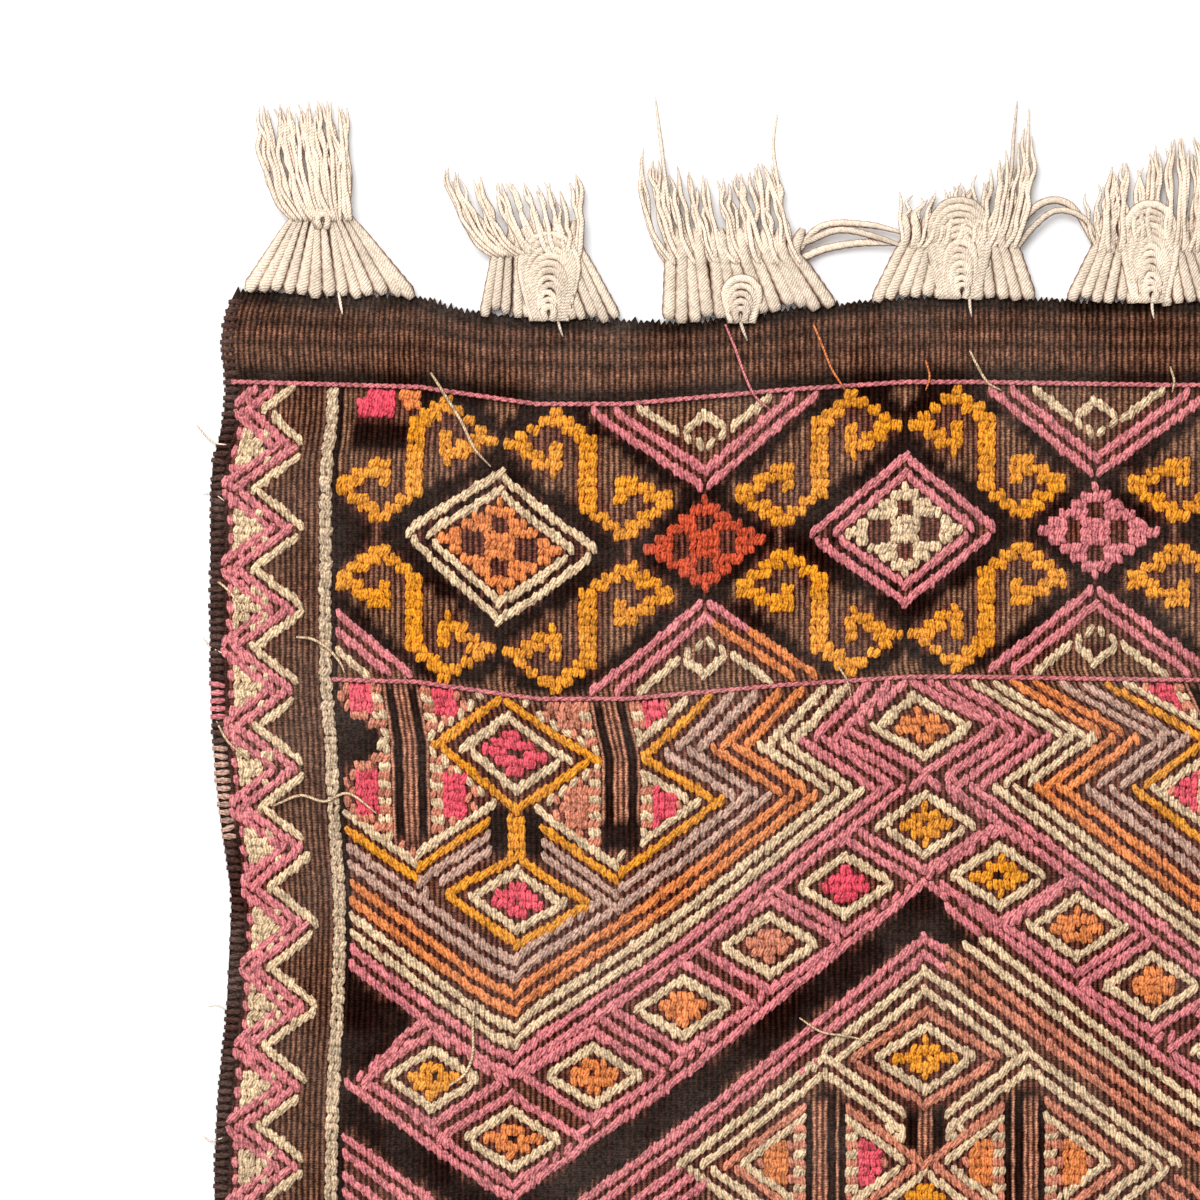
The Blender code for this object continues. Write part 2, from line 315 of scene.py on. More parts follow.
def between_links(i, j):
    """The pink line beside the rings, in the corners that the chain leaves."""
    x, y, _ = min(CHAIN, key=lambda link: CHAIN_FLATTEN * abs(i - link[0]) + abs(j - link[1]))
    reach = CHAIN_FLATTEN * abs(i - x) + abs(j - y)
    return ring_at(reach, i - x, j - y, ((7.3, "pink"),)) or ("brown", 0)


def eye(di, dj, core, dot, rings):
    """A large diamond of two rings, each (place, yarn), or None outside."""
    r = EYE_FLATTEN * abs(di) + abs(dj)
    if r < 0.4:
        return dot, 0
    if r < 2.2:
        return core, 0
    return ring_at(r, di, dj, rings) or (("brown", 0) if r < rings[-1][0] else None)


def flag(q, b, core):
    """The flag beside a bar: q counts from the bar's axis and b from the flag's middle."""
    if on(q, 2.2, 0.6):
        return "cream" if round(b) % 2 else "salmon", 0
    if on(q, 4.0, 1.0) and abs(b) < 2.4:
        return core, 0
    return "salmon" if (round(b) + round(q)) % 2 else "brown", 0


def compartment(i, j, level):
    """The compartments between two zigzags, with their bars, flags and eyes, or None outside."""
    across, along = abs(i) - PEAK, j - NOTCH_ROW
    lean_in = math.copysign(1, i * across * along)
    a, b = abs(across), abs(along)
    q = abs(a - BAR_ACROSS)
    down = b + q
    if q < BAR_HALF and b < BAR_LENGTH:
        dark = 0.7 < q < 1.2 or (abs(i) < PEAK and b > 7)
        return ("black" if dark else "tan"), 0
    ring = a + b
    if ring < 7.6 and b < 7.5:
        if ring < 2.6:
            return ("rose" if ring > 0.8 else "brown"), 0
        if on(ring, 4.3):
            return "cream", -lean_in, 4.3 - ring
        return ("saffron", -lean_in, 6.6 - ring) if on(ring, 6.6, 0.55) else ("brown", 0)
    found = eye(a, b - EYE_ROW, "rose", "brown", ((3.4, "cream"), (5.2, "saffron")))
    if found:
        return found[0], found[1] * lean_in, *found[2:]
    if a < 8.6 and b > 16.0 and level > 29.8:
        return "brown", 0
    if a < 2.2 and 6.0 < b < 12.2:
        return ("saffron" if a < 0.7 else "black"), 0
    if a >= BAR_ACROSS:
        if level > 33.2:
            if abs(i) > 44 and b < q - 1.5:
                return "black", 0
            return flag(q, b - 6, "rose")
        if abs(i) > 46.5 and j > 50 and level > 22:
            return "black", 0
        return None
    if down < 12.9 and b > q - 1.5:
        if on(b, q - 1.0):
            return "cream", -lean_in, q - 1.0 - b
        return flag(q, b - 6, "rose" if abs(i) > PEAK else "salmon") if b > q - 1 else ("brown", 0)
    if down < 19.4:
        shown = {"cream": a >= 2, "saffron": ring > 7.6, "taupe": a >= 2 and abs(b - 17) + a > 6.4}
        found = line_at(down, COMPARTMENT_LINES, lean_in)
        return found if shown.get(found[0]) else ("brown", 0)
    return None


def left_corner(i, j, level):
    """The black patch at the field's left edge and the pink line under it, or None outside."""
    above = (j - 20.7) - 1.3 * (i + 44.2)
    if i > -44.2 or level > 14.3 or above < -1.8:
        return None
    return ("black", 0) if above > 0 else ("pink", 1)


def field(i, j):
    """The field between the bands: zigzags, the chain of diamonds and the compartments."""
    shifted = (i + PEAK) % (2 * PEAK) - PEAK
    folded = j if j <= TIP_ROW else TIP_ROW - min(j - TIP_ROW, abs(j - 60))
    turn = -1 if TIP_ROW < j <= NOTCH_ROW else 1
    lean = -math.copysign(1, shifted) * turn
    level = folded - (PEAK - abs(shifted))
    across, below, above = zip(*FIELD_WANDER)
    wander = np.interp(i, across, below), np.interp(i, across, above)
    level -= mix(*wander, ramp(level, 4.0, 14.0))
    if level > 21.5 and abs(abs(i) - PEAK) < 24:
        found = compartment(i, j, level)
        if found:
            yarn, lean, *off = found
            return yarn, lean, *(math.copysign(1, j - NOTCH_ROW) * rows for rows in off)
    if level >= 14.5:
        return line_at(level, UPPER_LINES, lean, turn)
    if level > 2.0:
        found = left_corner(i, j, level) or chain(i, j)
        if not found:
            found = line_at(level, UPPER_LINES if i < 4.5 else RIGHT_LINES, lean, turn)
        return found if found[0] != "brown" or level < 4 else between_links(i, j)
    black_foot = max(BLACK_BAND[0], 1.4 * (i - 2) - 3)
    if i < 5 and level >= black_foot:
        return line_at(level, UPPER_LINES, lean) if level >= BLACK_BAND[1] else ("black", 0)
    if i > HANDOVER and level > -6.5:
        return line_at(level, RIGHT_LINES, lean)
    return heart(i, j, level, lean)


def heart(i, j, level, lean):
    """The compartment about the rug's middle."""
    a = abs(i)
    folded = j if j >= CENTRE_TIP_ROW else 2 * CENTRE_TIP_ROW - j
    turn = 1 if j >= CENTRE_TIP_ROW else -1
    if EYE_FLATTEN * a + abs(j - HEART_EYE_ROW) < 5.9 and not (j < 12 and a > 1.2):
        found = eye(i, j - HEART_EYE_ROW, "saffron", "brown", ((3.6, "cream"), (5.4, "salmon")))
        return found or ("brown", 0)
    if a < 2 and 6.5 < j < 12.5:
        return ("tan" if a < 0.8 else "black"), 0
    q = abs(a - HEART_BAR)
    if q < 1.9 and j < 13.0:
        return ("black" if 0.5 < q < 0.9 or q > 1.4 else "tan"), 0
    if a + j < 4.4:
        if a + j < 2.6:
            return ("brown" if a + j < 1 else "saffron"), 0
        return ("cream", side_of(i, j)) if on(a + j, 3.8, 0.6) else ("brown", 0)
    inner = a < HEART_BAR
    away = math.copysign(1, i if inner else -i)
    cap = q + folded + (0.0 if inner else -0.5 if i > 0 else 0.1)
    arm = away * turn
    caps = ((17.4, "cream"), (15.4, "cream"), (13.3, "salmon" if q >= 1.9 else "black"))
    found = line_at(cap, caps, arm, turn)
    if found[0] != "brown" and not (inner and j < 8.5 and found[0] == "cream"):
        return found
    if inner and on(cap, 14.4, 1.2) and 7.2 < j < 9.4 and a < 3.4:
        return "cream", 0
    if q >= 1.9 and cap < 12.8:
        up = j - CENTRE_TIP_ROW
        reach = q + abs(up)
        found = ring_at(reach, a - HEART_BAR, up, ((7.0, "cream"), (9.0, "salmon")))
        if found:
            return found[0], found[1] * math.copysign(1, i), found[2]
        if reach < 7:
            return flag(q, up, "rose" if i < 0 and inner else "orange")
        return "brown", 0
    if cap > 17.9:
        lines = LEFT_LINES if i < HANDOVER else RIGHT_LINES
        return line_at(level, lines if inner else lines[:-2] + TIP_LINES[i > 0], lean)
    return "brown", 0


def guard(i, j):
    """The chevrons of the side stripes."""
    a = abs(i)
    h = fold(j, GUARD_PERIOD)
    rising = (j + GUARD_PERIOD / 2) % GUARD_PERIOD > GUARD_PERIOD / 2
    up = 1 if rising else -1
    lean = -math.copysign(1, i) * up
    if a < WHITE_STRIPE:
        return "white", 0
    yarn, *run = line_at(a + h, GUARD_LINES, lean, up)
    if yarn == "cream" and h <= 3.8:
        return yarn, *run
    if a + h < GUARD_LINES[0][0]:
        return "umber", 0
    if yarn == "pink" and (a < 59.7 or a + h < 59.1):
        return yarn, *run
    if 56.0 <= a < 58.8 and h > 2.4:
        return "cream", 0
    if 57.8 <= a < GUARD_EDGE:
        return ("pink" if round(j) % 2 else "brown"), 0
    return ("umber" if a < GUARD_EDGE else "black"), 0


def pattern(i, j):
    """The yarn on top of a place in the weave, which way its stitches lean, and for a line how
    many rows on from there it runs."""
    row = abs(j)
    if row >= HEADER_START:
        return "header", 0
    if row >= BAND_TOP - 0.5:
        return "black", 0
    if abs(i) >= FIELD_EDGE:
        found = guard(i, row)
    elif abs(i) > FIELD_EDGE - 0.5:
        return "black", 0
    elif on(row, BAND_FOOT):
        return "brown", 0
    elif row > BAND_FOOT:
        found = border(i, row)
    else:
        found = field(i, row)
    yarn, *turned = found
    return yarn, *(number if j >= 0 else -number for number in turned)


# ---------------------------------------------------------------- the weave's place on the rug


def mix(start, end, share):
    return start + (end - start) * share


def smooth(table, at):
    """The second column of a table along a smooth curve through its rows, in metres."""
    xs, ys = (np.array(column) * MM for column in zip(*sorted(table)))
    slopes = np.empty_like(xs)
    slopes[1:-1] = (ys[2:] - ys[:-2]) / (xs[2:] - xs[:-2])
    slopes[[0, -1]] = np.diff(ys)[[0, -1]] / np.diff(xs)[[0, -1]]
    at = np.clip(at, xs[0], xs[-1])
    k = np.clip(np.searchsorted(xs, at, side="right") - 1, 0, len(xs) - 2)
    span = xs[k + 1] - xs[k]
    t = (at - xs[k]) / span
    return (
        (2 * t**3 - 3 * t**2 + 1) * ys[k]
        + (t**3 - 2 * t**2 + t) * slopes[k] * span
        + (3 * t**2 - 2 * t**3) * ys[k + 1]
        + (t**3 - t**2) * slopes[k + 1] * span
    )


def place(i, j):
    """Where a place in the weave lies on the rug, in metres."""
    i, j = np.asarray(i, float), np.asarray(j, float)
    turn = np.where(j < 0, -1.0, 1.0)  # the foot half is the head half turned half round
    i, j = i * turn, j * turn
    drift = np.interp(i, *zip(*BAND_DRIFT)) * np.clip((j - 54) / 8, 0, 1)
    x = (i + drift) * CELL
    sag = np.interp(i, *zip(*ROW_SAG)) * MM
    y = j * ROW - sag * np.clip(j / 58, 0, 1)
    into_header = np.clip((j - HEADER_START) / (HEAD_END - HEADER_START), 0, 1)
    start = HEADER_START * ROW - sag
    y = np.where(j > HEADER_START, start + (smooth(HEAD_EDGE, x) - start) * into_header, y)
    edge = smooth(SIDE_EDGE, np.where(x < 0, y, -y))
    x = x + np.sign(x) * (edge - HALF_WIDTH) * (np.abs(x) / HALF_WIDTH) ** 4
    return x * turn, y * turn


# ---------------------------------------------------------------- colours and materials


def tone(red, green, blue):
    """A linear colour from its 8-bit screen values."""
    def linear(value):
        value /= 255
        return value / 12.92 if value <= 0.04045 else ((value + 0.055) / 1.055) ** 2.4
    return linear(red), linear(green), linear(blue)


YARN_TONES = {
    "cream": tone(246, 214, 172),
    "pink": tone(236, 138, 142),
    "rose": tone(250, 88, 108),
    "saffron": tone(255, 165, 40),
    "orange": tone(250, 148, 82),
    "salmon": tone(226, 142, 112),
    "taupe": tone(214, 172, 152),
    "rust": tone(222, 90, 56),
    "white": tone(224, 196, 162),
    "ivory": tone(255, 234, 210),
    "edge_brown": tone(78, 46, 38),
}
GROUND_TONES = {
    "black": tone(46, 21, 14),
    "brown": tone(162, 117, 89),
    "tan": tone(206, 142, 112),
    "umber": tone(136, 94, 72),
    # under: the brown with painted shade, for ground shut in between brocade lines
    "under": tone(130, 74, 60),
    "header": tone(150, 104, 80),
}


# The painted shade of a yarn between its plies and of the ground between its ribs, as shares of its
# colour.
YARN_SHADE = (0.36, 0.27, 0.24)
GROUND_SHADE = (0.16, 0.10, 0.09)
# The brown painted shade of the undyed warp, between its plies and down its strands' sides where they
# touch.
WARP_SHADE = tone(122, 74, 52)
PLY_PITCH = 1.6  # along a yarn, in millimetres
PLY_SLANT = 0.8
FIBRE_DEPTH = 0.00012


def colour_property(name):
    return FloatVectorProperty(
        name=name.replace("_", " ").capitalize(),
        description=f"Colour of the {name.replace('_', ' ')} yarn",
        subtype="COLOR",
        size=3,
        min=0.0,
        max=1.0,
        default=YARN_TONES[name],
    )


class YarnColours(bpy.types.PropertyGroup):
    """The colours of the yarns."""

    __annotations__ = {name: colour_property(name) for name in YARN_TONES}


def length_property(name, description, default):
    return FloatProperty(
        name=name, description=description, default=default, min=0.0, subtype="DISTANCE", unit="LENGTH"
    )


class WeaveSizes(bpy.types.PropertyGroup):
    """The sizes of the cloth's weave."""

    crest: length_property("Rib crest", "Height of the ribs above the floor", 0.0029)
    gap: length_property("Rib gap", "Height of the gaps between the ribs", 0.0021)
    stitch_height: length_property("Stitch height", "How far a stitch stands over the ground", 0.0011)
    stitch_length: length_property("Stitch length", "Half the length of a leaning stitch", 0.0039)
    fill_length: length_property("Fill length", "Half the length of a filling stitch", 0.0034)
    stitch_width: length_property("Stitch width", "Half the width of a stitch", 0.0021)
    ground_rows: IntProperty(
        name="Ground rows", description="Rows of faces along the cloth", default=180, min=12
    )


class FringeSizes(bpy.types.PropertyGroup):
    """The sizes of the fringe's yarns."""

    twist_length: length_property("Twist length", "Length of one turn of the plies", 0.011)
    strands: IntProperty(
        name="Strands", description="Strands in a tassel's fan", default=13, min=4, max=20
    )
    brush_yarns: FloatProperty(
        name="Brush yarns", description="Yarns in the brush for each strand", default=3.0, min=1, max=4
    )


class StageSizes(bpy.types.PropertyGroup):
    """The camera and the floor."""

    camera_height: length_property("Camera height", "Height of the camera over the floor", 2.4)
    view_width: length_property("View width", "Width of the floor in the picture", 0.6)
    floor_size: length_property("Floor size", "Side of the square floor", 9.0)


def add_node(tree, kind, **settings):
    """A new node, set out in rows of eight after the ones before it."""
    row, column = divmod(len(tree.nodes), 8)
    node = tree.nodes.new(kind)
    node.location = (column * 220, -row * 320)
    for key, value in settings.items():
        setattr(node, key, value)
    return node


def feed(tree, node, values):
    """Give a node's inputs their values, by name or place; a value that is a socket is linked."""
    for key, value in values.items():
        if isinstance(value, bpy.types.NodeSocket):
            tree.links.new(value, node.inputs[key])
        else:
            node.inputs[key].default_value = value


def new_group(name, inputs, outputs):
    """A node group with its two end nodes; a socket is (name, kind) and, going in, its value."""
    group = bpy.data.node_groups.new(name, "ShaderNodeTree")
    for in_out, sockets in (("INPUT", inputs), ("OUTPUT", outputs)):
        for socket, kind, *value in sockets:
            made = group.interface.new_socket(socket, in_out=in_out, socket_type=f"NodeSocket{kind}")
            if value:
                made.default_value = value[0]
    return group, add_node(group, "NodeGroupInput"), add_node(group, "NodeGroupOutput")


def mixed(tree, kind, share, first, second):
    """A colour mix of two sockets or colours; returns its output."""
    node = add_node(tree, "ShaderNodeMix", data_type="RGBA", blend_type=kind)
    feed(tree, node, {0: share, 6: first, 7: second})
    return node.outputs[2]


def maths(tree, operation, *values):
    node = add_node(tree, "ShaderNodeMath", operation=operation)
    feed(tree, node, dict(enumerate(values)))
    return node.outputs[0]


def spread(tree, source, low, high, to_low=0.0, to_high=1.0):
    """A value's smooth way from to_low to to_high, as the source goes from low to high."""
    node = add_node(tree, "ShaderNodeMapRange", interpolation_type="SMOOTHSTEP")
    feed(tree, node, dict(enumerate((source, low, high, to_low, to_high))))
    return node.outputs[0]


def noise(tree, vector, scale, detail, rough=0.55):
    node = add_node(tree, "ShaderNodeTexNoise")
    feed(tree, node, {"Vector": vector, "Scale": scale, "Detail": detail, "Roughness": rough})
    return node.outputs["Fac"]


def bump(tree, height, distance, **under):
    """A bump's normal; Normal= puts it on top of another bump."""
    node = add_node(tree, "ShaderNodeBump")
    feed(tree, node, {"Strength": 1.0, "Distance": distance, "Height": height, **under})
    return node.outputs[0]


def attribute(tree, name, output="Fac"):
    return add_node(tree, "ShaderNodeAttribute", attribute_name=name).outputs[output]


def wool_group():
    """Fading, dirt and loose fibres, which every wool of the rug has, and the painted shade that Ply
    mixes in from Shade.
    """
    name = "Wool Fibres"
    if name in bpy.data.node_groups:
        return bpy.data.node_groups[name]
    group, start, end = new_group(
        name,
        (
            ("Colour", "Color", (0.8, 0.8, 0.8, 1)),
            ("Shade", "Color", (0.2, 0.2, 0.2, 1)),
            ("Ply", "Float", 1.0),
            ("Fading", "Float", 0.5),
            ("Tint", "Float", 0.5),
            ("Flecks", "Float", 1.0),
        ),
        (("Colour", "Color"), ("Roughness", "Float"), ("Height", "Float")),
    )
    given = start.outputs
    here = add_node(group, "ShaderNodeTexCoord").outputs["Object"]
    fibres = noise(group, here, 1500.0, 3.0, 0.65)
    tufts = noise(group, here, 620.0, 2.0, 0.6)
    patches = noise(group, here, 14.0, 4.0)
    clouds = noise(group, here, 70.0, 3.0, 0.6)
    # Where Ply is low the colour goes to Shade: painted shade between the plies, the ribs and the
    # strands.
    between = mixed(group, "MIX", given["Ply"], given["Shade"], given["Colour"])
    faded = maths(group, "MULTIPLY", spread(group, patches, 0.35, 0.7), given["Fading"])
    faded = maths(group, "MULTIPLY", faded, 0.22)
    pale = mixed(group, "MIX", faded, between, (0.78, 0.62, 0.52, 1))
    tint = maths(group, "MULTIPLY", maths(group, "SUBTRACT", given["Tint"], 0.5), 0.30)
    lit = maths(group, "ADD", spread(group, clouds, 0.25, 0.75, 0.86, 1.1), tint)
    lit = maths(group, "MULTIPLY", lit, spread(group, fibres, 0.25, 0.75, 0.78, 1.16))
    fleck = maths(group, "MULTIPLY", spread(group, tufts, 0.36, 0.6, 0.5, -0.1), given["Flecks"])
    lit = maths(group, "MULTIPLY", lit, maths(group, "SUBTRACT", 1.0, fleck))
    grey = add_node(group, "ShaderNodeCombineXYZ")
    feed(group, grey, dict.fromkeys(range(3), lit))
    fine, coarse = maths(group, "MULTIPLY", fibres, 0.45), maths(group, "MULTIPLY", tufts, 0.55)
    feed(group, end, {
        "Colour": mixed(group, "MULTIPLY", 1.0, pale, grey.outputs[0]),
        "Roughness": spread(group, fibres, 0.2, 0.8, 0.82, 1.0),
        "Height": maths(group, "ADD", fine, coarse),
    })
    return group


def ply_group():
    """The slanting plies of a twisted yarn, from a UV map in millimetres: u along it, v across; Ply is
    where painted shade falls in the grooves between them, Height their bump.
    """
    name = "Yarn Plies"
    if name in bpy.data.node_groups:
        return bpy.data.node_groups[name]
    group, _, end = new_group(name, (), (("Ply", "Float"), ("Height", "Float")))
    uv = add_node(group, "ShaderNodeUVMap", uv_map="yarn").outputs[0]
    split = add_node(group, "ShaderNodeSeparateXYZ")
    feed(group, split, {0: uv})
    slanting = maths(group, "MULTIPLY", split.outputs[1], PLY_SLANT)
    wander = maths(group, "MULTIPLY", noise(group, uv, 0.7, 2.0), 0.9)
    along = maths(group, "ADD", maths(group, "ADD", split.outputs[0], slanting), wander)
    wave = maths(group, "SINE", maths(group, "MULTIPLY", along, math.tau / PLY_PITCH))
    feed(group, end, {
        "Height": spread(group, wave, -1.0, 1.0),
        "Ply": spread(group, wave, -1.0, 0.1, 0.45, 1.0),
    })
    return group


def ribbed(tree):
    """The ground's wool: dyed by the mesh, whose colour also holds painted shade between brocade lines;
    painted shade in the gaps between the ribs; and its weft's beads, as bump and as painted shade
    between them.
    """
    dye = attribute(tree, "dye", "Color")
    here = add_node(tree, "ShaderNodeTexCoord").outputs["Object"]
    beads = add_node(tree, "ShaderNodeTexWave", wave_type="BANDS", bands_direction="Y")
    wave = {"Vector": here, "Scale": 240.0, "Distortion": 7.0, "Detail": 2.0, "Detail Scale": 1.6}
    feed(tree, beads, wave)
    height = beads.outputs["Fac"]
    # Full colour on the ribs' crests and the beads, painted shade in the gaps between them.
    rise = maths(tree, "ADD", attribute(tree, "rib"), maths(tree, "MULTIPLY", height, 0.3))
    shade = mixed(tree, "MULTIPLY", 1.0, dye, (*GROUND_SHADE, 1))
    return {"Colour": dye, "Shade": shade, "Ply": spread(tree, rise, 0.35, 1.05)}, height


def twisted(tree, colour, shade, ply_shade_floor):
    """A yarn's wool: one colour, with painted shade between the plies and down the yarn's sides, where
    strands touch.
    """
    plies = add_node(tree, "ShaderNodeGroup", node_tree=ply_group()).outputs
    # Painted shade down the sides of a tube yarn, where yarns lie against one another; stitches, which
    # have no aside, get none.
    painted_side_shade = spread(tree, attribute(tree, "aside"), 0.5, 0.98, 1.0, 0.0)
    unshaded_share = maths(tree, "MULTIPLY", spread(tree, plies["Ply"], 0.4, 1.0, ply_shade_floor, 1.0), painted_side_shade)
    given = {"Colour": (*colour, 1), "Shade": (*shade, 1), "Tint": attribute(tree, "tint")}
    return {**given, "Ply": unshaded_share}, plies["Height"]


def wool(name, spun, ply_depth, gloss, sheen, **amounts):
    """A wool material; spun gives what its fibres are fed and how high its plies are."""
    material = bpy.data.materials.new(name)
    material.use_nodes = True
    tree = material.node_tree
    fibres = add_node(tree, "ShaderNodeGroup", node_tree=wool_group())
    given, height = spun(tree)
    feed(tree, fibres, {**given, **amounts})
    plies = bump(tree, height, ply_depth)
    feed(tree, tree.nodes["Principled BSDF"], {
        "Specular IOR Level": gloss,
        "Sheen Weight": sheen,
        "Sheen Roughness": 0.5,
        "Base Color": fibres.outputs["Colour"],
        "Roughness": fibres.outputs["Roughness"],
        "Normal": bump(tree, fibres.outputs["Height"], FIBRE_DEPTH, Normal=plies),
    })
    return material


def yarn_material(name):
    colour = tuple(getattr(bpy.context.scene.kilim_yarns, name))
    undyed = name == "ivory"
    shade = tuple(channel * weight for channel, weight in zip(colour, YARN_SHADE))
    if undyed:
        shade = WARP_SHADE
    spun = functools.partial(twisted, colour=colour, shade=shade, ply_shade_floor=0.82 if undyed else 0.45)
    amounts = {"Fading": 0.1 if undyed else 0.5, "Flecks": 0.35 if undyed else 1.0}
    return wool(f"{name}_wool", spun, 0.00035, 0.06, 0.03, **amounts)


# ---------------------------------------------------------------- meshes


def finish_piece(thing, material):
    thing.data.materials.append(material)
    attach(thing, "root")
    return thing


def mesh_of(name, verts, faces):
    """A smooth mesh object from arrays; faces all have the same number of corners."""
    mesh = bpy.data.meshes.new(name)
    verts = np.asarray(verts, np.float32)
    faces = np.asarray(faces, np.int32)
    mesh.vertices.add(len(verts))
    mesh.vertices.foreach_set("co", verts.ravel())
    mesh.loops.add(faces.size)
    mesh.loops.foreach_set("vertex_index", faces.ravel())
    mesh.polygons.add(len(faces))
    mesh.polygons.foreach_set("loop_start", np.arange(len(faces), dtype=np.int32) * faces.shape[1])
    mesh.update(calc_edges=True)
    mesh.validate()
    mesh.polygons.foreach_set("use_smooth", np.ones(len(mesh.polygons), bool))
    thing = bpy.data.objects.new(name, mesh)
    bpy.context.scene.collection.objects.link(thing)
    return thing


def give_uv(mesh, per_vertex):
    """The UV map that the plies follow, in millimetres, from one place per vertex."""
    layer = mesh.uv_layers.new(name="yarn")
    index = np.empty(len(mesh.loops), np.int32)
    mesh.loops.foreach_get("vertex_index", index)
    layer.data.foreach_set("uv", np.asarray(per_vertex, np.float32)[index].ravel())


def give_values(mesh, name, per_vertex):
    layer = mesh.attributes.new(name, "FLOAT", "POINT")
    layer.data.foreach_set("value", np.asarray(per_vertex, np.float32))


def model_stitch():
    """One stitch, modelled as half a flattened ball, standing on its cut face."""
    bpy.ops.object.select_all(action="DESELECT")
    bpy.ops.mesh.primitive_uv_sphere_add(segments=6, ring_count=4, radius=1.0)
    stitch = bpy.context.object
    bpy.ops.object.mode_set(mode="EDIT")
    bpy.ops.mesh.select_all(action="SELECT")
    bpy.ops.mesh.bisect(plane_co=(0, 0, 0), plane_no=(0, 0, 1), use_fill=True, clear_inner=True)
    bpy.ops.mesh.select_all(action="SELECT")
    bpy.ops.mesh.quads_convert_to_tris()
    bpy.ops.object.mode_set(mode="OBJECT")
    verts = np.array([v.co for v in stitch.data.vertices])
    faces = np.array([p.vertices[:] for p in stitch.data.polygons])
    bpy.data.objects.remove(stitch, do_unlink=True)
    return np.sign(verts) * np.abs(verts) ** np.array(STITCH_FULLNESS), faces


@functools.cache
def chart():
    """The yarn and lean of every rib in every row: the brocade as it would be drawn on paper."""
    return [
        [pattern(k / 2, j) for k in range(-RIBS_EACH_SIDE, RIBS_EACH_SIDE + 1)]
        for j in range(-LAST_ROW, LAST_ROW + 1)
    ]


def stitches_by_yarn():
    """Every stitch, one to a rib: (across, row, lean), set on its line, by yarn."""
    stitches = {}
    for j, row in enumerate(chart(), -LAST_ROW):
        start = 0
        while start < len(row):
            end = start
            while end + 1 < len(row) and row[end + 1][:2] == row[start][:2]:
                end += 1
            yarn, lean = row[start][:2]
            if yarn not in GROUND:
                ribs = end - start + 1
                parts = max(1, round(ribs / 2))
                for rib in range(start, end + 1):
                    part = int((rib - start + 0.5) * parts / ribs)
                    middle = start - 0.5 + ribs * (part + 0.5) / parts
                    off = row[rib][2] if len(row[rib]) > 2 else lean * (rib - middle) / 2
                    stitches.setdefault(yarn, []).append(((rib - RIBS_EACH_SIDE) / 2, j, off, lean))
            start = end + 1
    return stitches


def bead_mesh(name, beads, base, tints):
    """One joined mesh of beads: rows of x, y, z, run x, run y, half length, half width, height."""
    verts, faces = base
    x, y, z, run_x, run_y, length, width, height = np.asarray(beads, float).T[:, :, None]
    span = np.hypot(run_x, run_y)
    run_x, run_y = run_x / span, run_y / span
    along = verts[:, 0] * length
    across = verts[:, 1] * width
    points = np.stack(
        (
            x + along * run_x - across * run_y,
            y + along * run_y + across * run_x,
            z + verts[:, 2] * height,
        ),
        axis=2,
    )
    shift = (np.arange(len(beads)) * len(verts))[:, None, None]
    thing = mesh_of(name, points.reshape(-1, 3), (faces[None] + shift).reshape(-1, 3))
    # Each bead's plies start elsewhere. They run along it, so the two axes are swapped.
    offset = np.asarray(tints)[:, None] * 97.0
    uv = np.stack((across / MM + offset, along / MM * 0.2 + offset), axis=2)
    give_uv(thing.data, uv.reshape(-1, 2))
    give_values(thing.data, "tint", np.repeat(tints, len(verts)))
    return thing


def weave_ground(sizes):
    """The ribbed ground: a closed sheet with one column of faces up and one down each rib."""
    rows = sizes.ground_rows
    columns = 2 * (2 * RIBS_EACH_SIDE + 1)
    i = (np.arange(columns + 1) - columns / 2) / 4
    j = np.linspace(-HEAD_END, HEAD_END, rows + 1)
    grid_i, grid_j = np.meshgrid(i, j)
    x, y = place(grid_i, grid_j)
    dice = np.random.default_rng(11)
    crest = np.arange(columns + 1) % 2 == 1
    wobble = dice.normal(0, 0.00022, x.shape)
    x = x + np.where(np.abs(grid_i) < RIBS_EACH_SIDE / 2, wobble, 0)
    z = np.where(crest, sizes.crest, sizes.gap) + dice.normal(0, 0.00007, x.shape)
    teeth = np.where(crest, 0.0011, -0.0009) + dice.normal(0, 0.0005, columns + 1)
    for row, way in ((0, -1), (-1, 1)):
        y[row] += way * teeth
        z[row] -= 0.0008
    z[:, (0, -1)] = EDGE_HEIGHT
    top = np.stack((x, y, z), axis=2).reshape(-1, 3)
    width = columns + 1
    a = (np.arange(rows)[:, None] * width + np.arange(columns)).ravel()
    thing = mesh_of("woven_ground", top, np.stack((a, a + 1, a + 1 + width, a + width), axis=1))
    colour_ground(thing.data, grid_i, grid_j, crest)
    close_underneath(thing, width, rows)
    give_uv(thing.data, np.zeros((len(thing.data.vertices), 2)))
    material = wool("ground_wool_dyed", ribbed, 0.0003, 0.02, 0.0, Fading=0.25)
    return finish_piece(thing, material)


